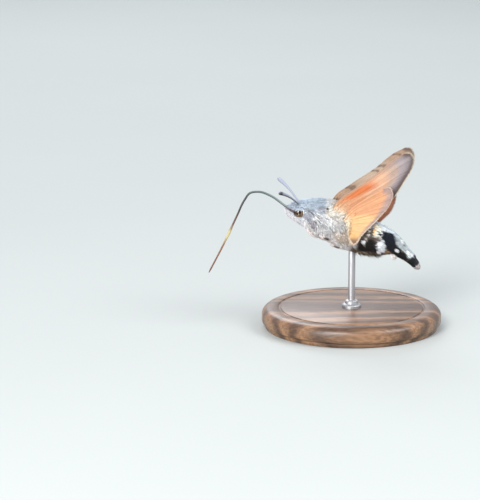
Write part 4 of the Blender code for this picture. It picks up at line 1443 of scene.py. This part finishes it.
def vein_height(u, v, veins):
    """1 on a vein at the wing's root, lower towards its tip, and 0 between veins."""
    height = numpy.zeros(u.shape)
    for at, begins in veins:
        ridge = numpy.exp(-(((v - at) / VEIN_WIDTH) ** 2)) * smooth(u, begins - 0.02, begins + 0.04)
        height = numpy.maximum(height, ridge * (1 - 0.55 * u))
    return height


def rim_distance(flat, edges):
    """How far places of the wing's plane are from its outer and trailing edge, in mm."""
    rim = []
    for name in ("outer", "trailing"):
        line, length = smooth_line(edges[name])
        rim.append(line(numpy.linspace(0, length, 160)))
    rim = numpy.concatenate(rim)
    points = flat.reshape(-1, 2)
    return numpy.linalg.norm(points[:, None] - rim[None], axis=2).min(1).reshape(flat.shape[:-1])


def forewing_under(flat, u, v, rim):
    """Tan and orange from the root, then pinkish white to lilac grey, dark at the rim."""
    flame = numpy.abs(v - 0.07 - 0.25 * u) / (0.035 + 0.2 * u)
    flame = (1 - smooth(flame, 0.1, 1.4)) * smooth(u, 0.06, 0.32) * (1 - smooth(u, 0.46, 0.62))
    lilac = smooth(v + 0.9 * (u - 0.62), 0.5, 0.8) * smooth(u, 0.64, 0.76)
    dusk = (1 - smooth(rim, 0.5, 2.1)) * smooth(u, 0.4, 0.75) * (0.4 + 0.5 * smooth(v, 0.1, 0.6))
    layers = (
        ((232, 168, 126), smooth(u, 0.12, 0.3)),
        ((242, 192, 158), smooth(u, 0.36, 0.5)),
        ((200, 173, 157), smooth(u, 0.62, 0.77)),
        ((178, 166, 168), smooth(u, 0.77, 0.87)),
        ((164, 154, 154), smooth(u, 0.87, 0.97)),
        ((230, 128, 74), flame),
        ((196, 158, 134), (1 - smooth(v, 0.0, 0.08)) * smooth(u, 0.1, 0.3)),
        ((198, 182, 184), lilac * 0.7),
        ((120, 106, 108), dusk),
        ((96, 82, 80), (1 - smooth(rim, 0.4, 1.1)) * smooth(u, 0.3, 0.6) * 0.75),
    )
    return overlaid(flood(u.shape, (222, 174, 136)), layers)


def forewing_upper(flat, u, v, rim):
    """Warm grey brown with dark wavy lines across it, a dark dot and a brown rim."""
    wave = 0.022 * numpy.sin(v * 19) + 0.012 * numpy.sin(v * 41 + 1)
    layers = [
        ((208, 184, 162), smooth(u, 0.3, 0.5) * (1 - smooth(u, 0.66, 0.8))),
        ((206, 162, 130), 1 - smooth(u, 0.1, 0.34)),
    ]
    for place, width in WAVY_LINES:
        away = numpy.abs(u + wave + 0.12 * (v - 0.5) ** 2 - place)
        layers.append(((110, 90, 78), (1 - smooth(away, width * 0.5, width * 1.6)) * 0.7))
    dot = numpy.hypot((u - 0.5) * 3, v - 0.3)
    layers.append(((56, 46, 42), 1 - smooth(dot, 0.05, 0.09)))
    layers.append(((124, 104, 94), 1 - smooth(rim, 0.4, 1.1)))
    return overlaid(flood(u.shape, (188, 158, 134)), layers)


def hindwing_under(flat, u, v, rim):
    """Peach in front, then yellow to the lobe, whose brown tip is partly painted shade, cream at the body,
    pinkish border.
    """
    wide = numpy.clip(2.8 - 4 * v, 0.9, 1.9) * (0.4 + 0.6 * smooth(v, 0.0, 0.14))
    border = (1 - smooth(rim, wide * 0.35, wide)) * smooth(u, 0.4, 0.7)
    lobe_x, lobe_z = HINDWING["trailing"][-1]
    lobe = numpy.hypot(flat[..., 0] - lobe_x, flat[..., 1] - lobe_z)
    dot = numpy.hypot((u - 0.31) * 2.4, v - 0.24)
    layers = (
        ((250, 203, 147), smooth(v - 0.32 * (u - 0.34), 0.24, 0.36)),
        ((250, 197, 134), smooth(v, 0.7, 0.9)),
        ((252, 226, 180), (1 - smooth(u, 0.02, 0.2)) * smooth(v, 0.2, 0.5)),
        ((190, 162, 154), border * (1 - 0.6 * smooth(v, 0.6, 0.85))),
        # Brown round the lobe's tip stands for the shaded brown fur over it: partly the fur's brown, partly
        # painted shade.
        ((150, 118, 94), 1 - smooth(lobe, 0.8, 2.0)),
        ((206, 134, 96), (1 - smooth(dot, 0.03, 0.08)) * 0.5),
    )
    return overlaid(flood(u.shape, (240, 176, 132)), layers)


def hindwing_upper(flat, u, v, rim):
    """Bright orange with a brown border that is widest in front."""
    wide = 1.9 - 1.2 * v
    layers = (
        ((236, 124, 70), smooth(v, 0.6, 0.9)),
        ((206, 132, 100), (1 - smooth(rim, wide * 0.7, wide * 1.3)) * smooth(u, 0.3, 0.6)),
        ((168, 84, 44), 1 - smooth(u, 0.0, 0.2)),
    )
    return overlaid(flood(u.shape, (244, 142, 70)), layers)


def make_scale_rows():
    """Rows of overlapping wing scales on the wing's own map: a shade and a height."""
    group, nodes, links, start, end = new_group("scale_rows", Amount=0.2)
    place = add_node(nodes, "UVMap")
    place.uv_map = "WingLay"
    stretch = add_node(nodes, "Mapping", Scale=(7.0, 14.0, 1.0))
    cells = add_node(nodes, "TexVoronoi", Scale=1.0, Randomness=0.55)
    tone = add_node(nodes, "SeparateColor")
    links.new(place.outputs["UV"], stretch.inputs["Vector"])
    links.new(stretch.outputs[0], cells.inputs["Vector"])
    links.new(cells.outputs["Color"], tone.inputs["Color"])
    shade = shade_around_one(nodes, links, tone.outputs[0], start.outputs["Amount"])
    links.new(shade, end.inputs["Shade"])
    links.new(cells.outputs["Distance"], end.inputs["Height"])
    return group


scale_rows = make_scale_rows()


def membrane_material(name):
    """A painted wing with rows of overlapping scales."""
    finish = {"Sheen_Weight": 0.05, "Sheen_Roughness": 0.4, "Specular_IOR_Level": 0.2}
    made, nodes, links, shader = new_material(name, 0.7, **finish)
    rows = place_group(nodes, scale_rows, Amount=0.22)
    paint = add_node(nodes, "Attribute")
    paint.attribute_name = "paint"
    colour, _ = shaded(nodes, links, paint.outputs["Color"], 900, 0.18)
    links.new(scaled(nodes, links, colour, rows.outputs["Shade"]), shader.inputs["Base Color"])
    add_bump(nodes, links, shader, rows.outputs["Height"], 0.012 * MM, 0.6)
    return made


def slab(upper, lower):
    """Points and triangles of a closed thin sheet between two grids of points."""
    rows, columns = upper.shape[:2]
    count = rows * columns
    points = numpy.concatenate([upper.reshape(-1, 3), lower.reshape(-1, 3)])
    quads = grid_faces(rows, columns)
    index = numpy.arange(count).reshape(rows, columns)
    rim = numpy.concatenate([index[0, :-1], index[:-1, -1], index[-1, :0:-1], index[:0:-1, 0]])
    after = numpy.roll(rim, -1)
    walls = numpy.stack([rim, rim + count, after + count, after], -1)
    faces = numpy.concatenate([quads, quads[:, ::-1] + count, walls])
    triangles = numpy.concatenate([faces[:, (0, 1, 2)], faces[:, (0, 2, 3)]])
    return points, facing_out(points, triangles)


def grow_fringe(name, place_of, side, look, slot, paint):
    """The pale fringe of hair scales along the wing's outer and trailing edges."""
    rng = numpy.random.default_rng(len(name))
    parts = []
    for trailing, (count, bare) in enumerate(FRINGE_EDGES):
        share = (numpy.arange(count) + rng.uniform(-0.4, 0.4, count)) / count
        share = numpy.clip(share, 0.002, 0.998)
        end = numpy.ones(count)
        u, v = (share, end) if trailing else (end, share)
        rim = place_of(u, v)
        out = unit(rim - place_of(u - 0.03 * (1 - trailing), v - 0.03 * trailing))
        kept = share > bare
        parts.append([rim[kept], out[kept], share[kept] + trailing])
    rim, out, share = (numpy.concatenate(column) for column in zip(*parts))
    count = len(rim)
    along = numpy.array((0.35, 0, 0.2))
    heading = unit(out + along * rng.uniform(-0.4, 0.6, count)[:, None])
    up = numpy.zeros((count, 3)) + (0, side, 0)
    level = rng.uniform(-0.05, 0.05, count)
    roots = rim - out * (FRINGE * 1.05) + up * level[:, None]
    length = FRINGE * rng.uniform(0.75, 1.3, count)
    width = rng.uniform(0.06, 0.1, count)
    tip_paint, hind_paint = paint
    pale = mix(flood((count,), hind_paint), tip_paint, 1 - smooth(share, 0.3, 0.55))
    pale = pale * rng.uniform(0.8, 1.1, count)[:, None]
    places = numpy.stack([MAP_MARGIN + 0.47 * share, 0.5 + level * 8], -1)
    small = rng.uniform(-0.05, 0.05, count)
    arrays = (roots, heading, up, length, width, small, small, pale * 0.8, pale, places)
    make_piece(name, *grown(arrays, look, slot))


def root_hair(name, place_of, side, look, slot, paint):
    """Soft pale hair over the wing's root on both faces, lying outwards along it."""
    rng = numpy.random.default_rng(5)
    count = ROOT_HAIRS
    u = ROOT_HAIR_REACH * rng.uniform(0, 1, count) ** 1.6
    v = rng.uniform(0.03, 0.97, count)
    face = numpy.where(numpy.arange(count) % 2, 1, -1)
    middle = place_of(u, v)
    ahead = unit(place_of(u + 0.02, v) - middle)
    up = numpy.stack([face * 0, face * side, face * 0], -1)
    middle = middle + up * MEMBRANE / 2
    lift = numpy.radians(rng.uniform(0.5, 4, count))[:, None]
    heading = unit(ahead * numpy.cos(lift) + up * numpy.sin(lift) + rng.normal(0, 0.05, (count, 3)))
    fade = smooth(u / ROOT_HAIR_REACH, 0.1, 0.8)
    length = rng.uniform(0.6, 1.4, count) * (1 - 0.4 * fade)
    width = rng.uniform(0.07, 0.11, count)
    cream = mix(flood((count,), (250, 238, 214)), paint, fade)
    cream = numpy.where(face[:, None] > 0, cream, to_linear(196, 176, 154))
    cream = cream * (ROOT_HAIR_SHADE - 0.06 * fade)[:, None]
    cream = cream * rng.uniform(0.9, 1.15, count)[:, None]
    places = numpy.stack([MAP_MARGIN + 0.47 * u, 0.3 + 0.4 * v], -1)
    small = rng.uniform(-0.02, 0.06, count)
    arrays = (middle, heading, up, length, width, small, small - 0.02, cream, cream, places)
    make_piece(name, *grown(arrays, look, slot, painted_root_shade=0.95))


def build_wing(kind, side_name, form, paints, hair, fringe):
    """A membrane with its fringe and root hair, from its form and the colours of each."""
    edges, veins, beat, aside, dive = form
    side = SIDES[side_name]
    along, across = numpy.linspace(0, 1, WING_COLUMNS), numpy.linspace(0, 1, WING_ROWS)
    u, v = numpy.meshgrid(along, across, indexing="ij")

    def place_of(u, v):
        return wing_middle(wing_outline(edges, u, v), u, edges, beat[side_name], aside, dive, side)

    flat = wing_outline(edges, u, v)
    rim = rim_distance(flat, edges)
    middle = place_of(u, v)
    rows = unit(numpy.gradient(middle, axis=0))
    columns = unit(numpy.gradient(middle, axis=1))
    out = unit(numpy.cross(rows, columns))
    out = out * numpy.sign(out[..., 1] * side)[..., None]
    inward = smooth(rim, 0.0, FRINGE * 1.4)
    outward = rows * smooth(u, 0.9, 1.0)[..., None] + columns * smooth(v, 0.9, 1.0)[..., None]
    middle = middle - outward * ((1 - inward) * FRINGE * 0.6)[..., None]
    pleats = numpy.sin(v * math.pi * 2 * PLEATS) * PLEAT * smooth(u, 0.15, 0.5) * smooth(rim, 0.3, 3.0)
    middle = middle + out * pleats[..., None]
    veined = vein_height(u, v, veins)
    half = MEMBRANE / 2 * (1.4 - 0.7 * u) + VEIN_RISE * veined
    sheets = [middle + out * half[..., None] * face for face in (1, -1)]
    points, faces = slab(*[sheet * MM for sheet in sheets])
    streaked = MEMBRANE_SHADE + MEMBRANE_STREAKS * streaks(u * 20, v * 2 * math.pi, 6.0, 60, 5)
    colours = []
    for paint in paints:
        colour = paint(flat, u, v, rim) * (1 - VEIN_SHADE * veined)[..., None]
        colours.append((colour * streaked[..., None]).reshape(-1, 3))
    lay = numpy.stack([u * WING_LAY[0], v * WING_LAY[1]], -1).reshape(-1, 2)
    maps = {"WingLay": numpy.concatenate([lay, lay])}
    name = f"{kind}_{side_name}"
    colours = numpy.concatenate(colours)
    piece = make_piece(f"membrane_{name}", points, faces, membrane_look, kind, colours, maps)
    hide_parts(name)
    grow_fringe(f"fringe_{name}", place_of, side, fringe_look, kind, fringe)
    root_hair(f"root_hair_{name}", place_of, side, fringe_look, kind, hair)


membrane_look = membrane_material("scaled_membrane")
fringe_look = fur_material("wing_fringe", 7000.0)
fore_form = (FOREWING, FOREWING_VEINS, FOREWING_BEAT, FOREWING_ASIDE, 0.0)
fore_paints = (forewing_under, forewing_upper)
fore_fringe = ((182, 168, 150), (210, 196, 174))
hind_form = (HINDWING, HINDWING_VEINS, HINDWING_BEAT, HINDWING_ASIDE, HINDWING_DIVE)
hind_paints = (hindwing_under, hindwing_upper)
hind_fringe = ((202, 178, 164), (230, 208, 184))
for side_name in SIDES:
    build_wing("forewing", side_name, fore_form, fore_paints, (232, 176, 134), fore_fringe)
    build_wing("hindwing", side_name, hind_form, hind_paints, (246, 204, 152), hind_fringe)
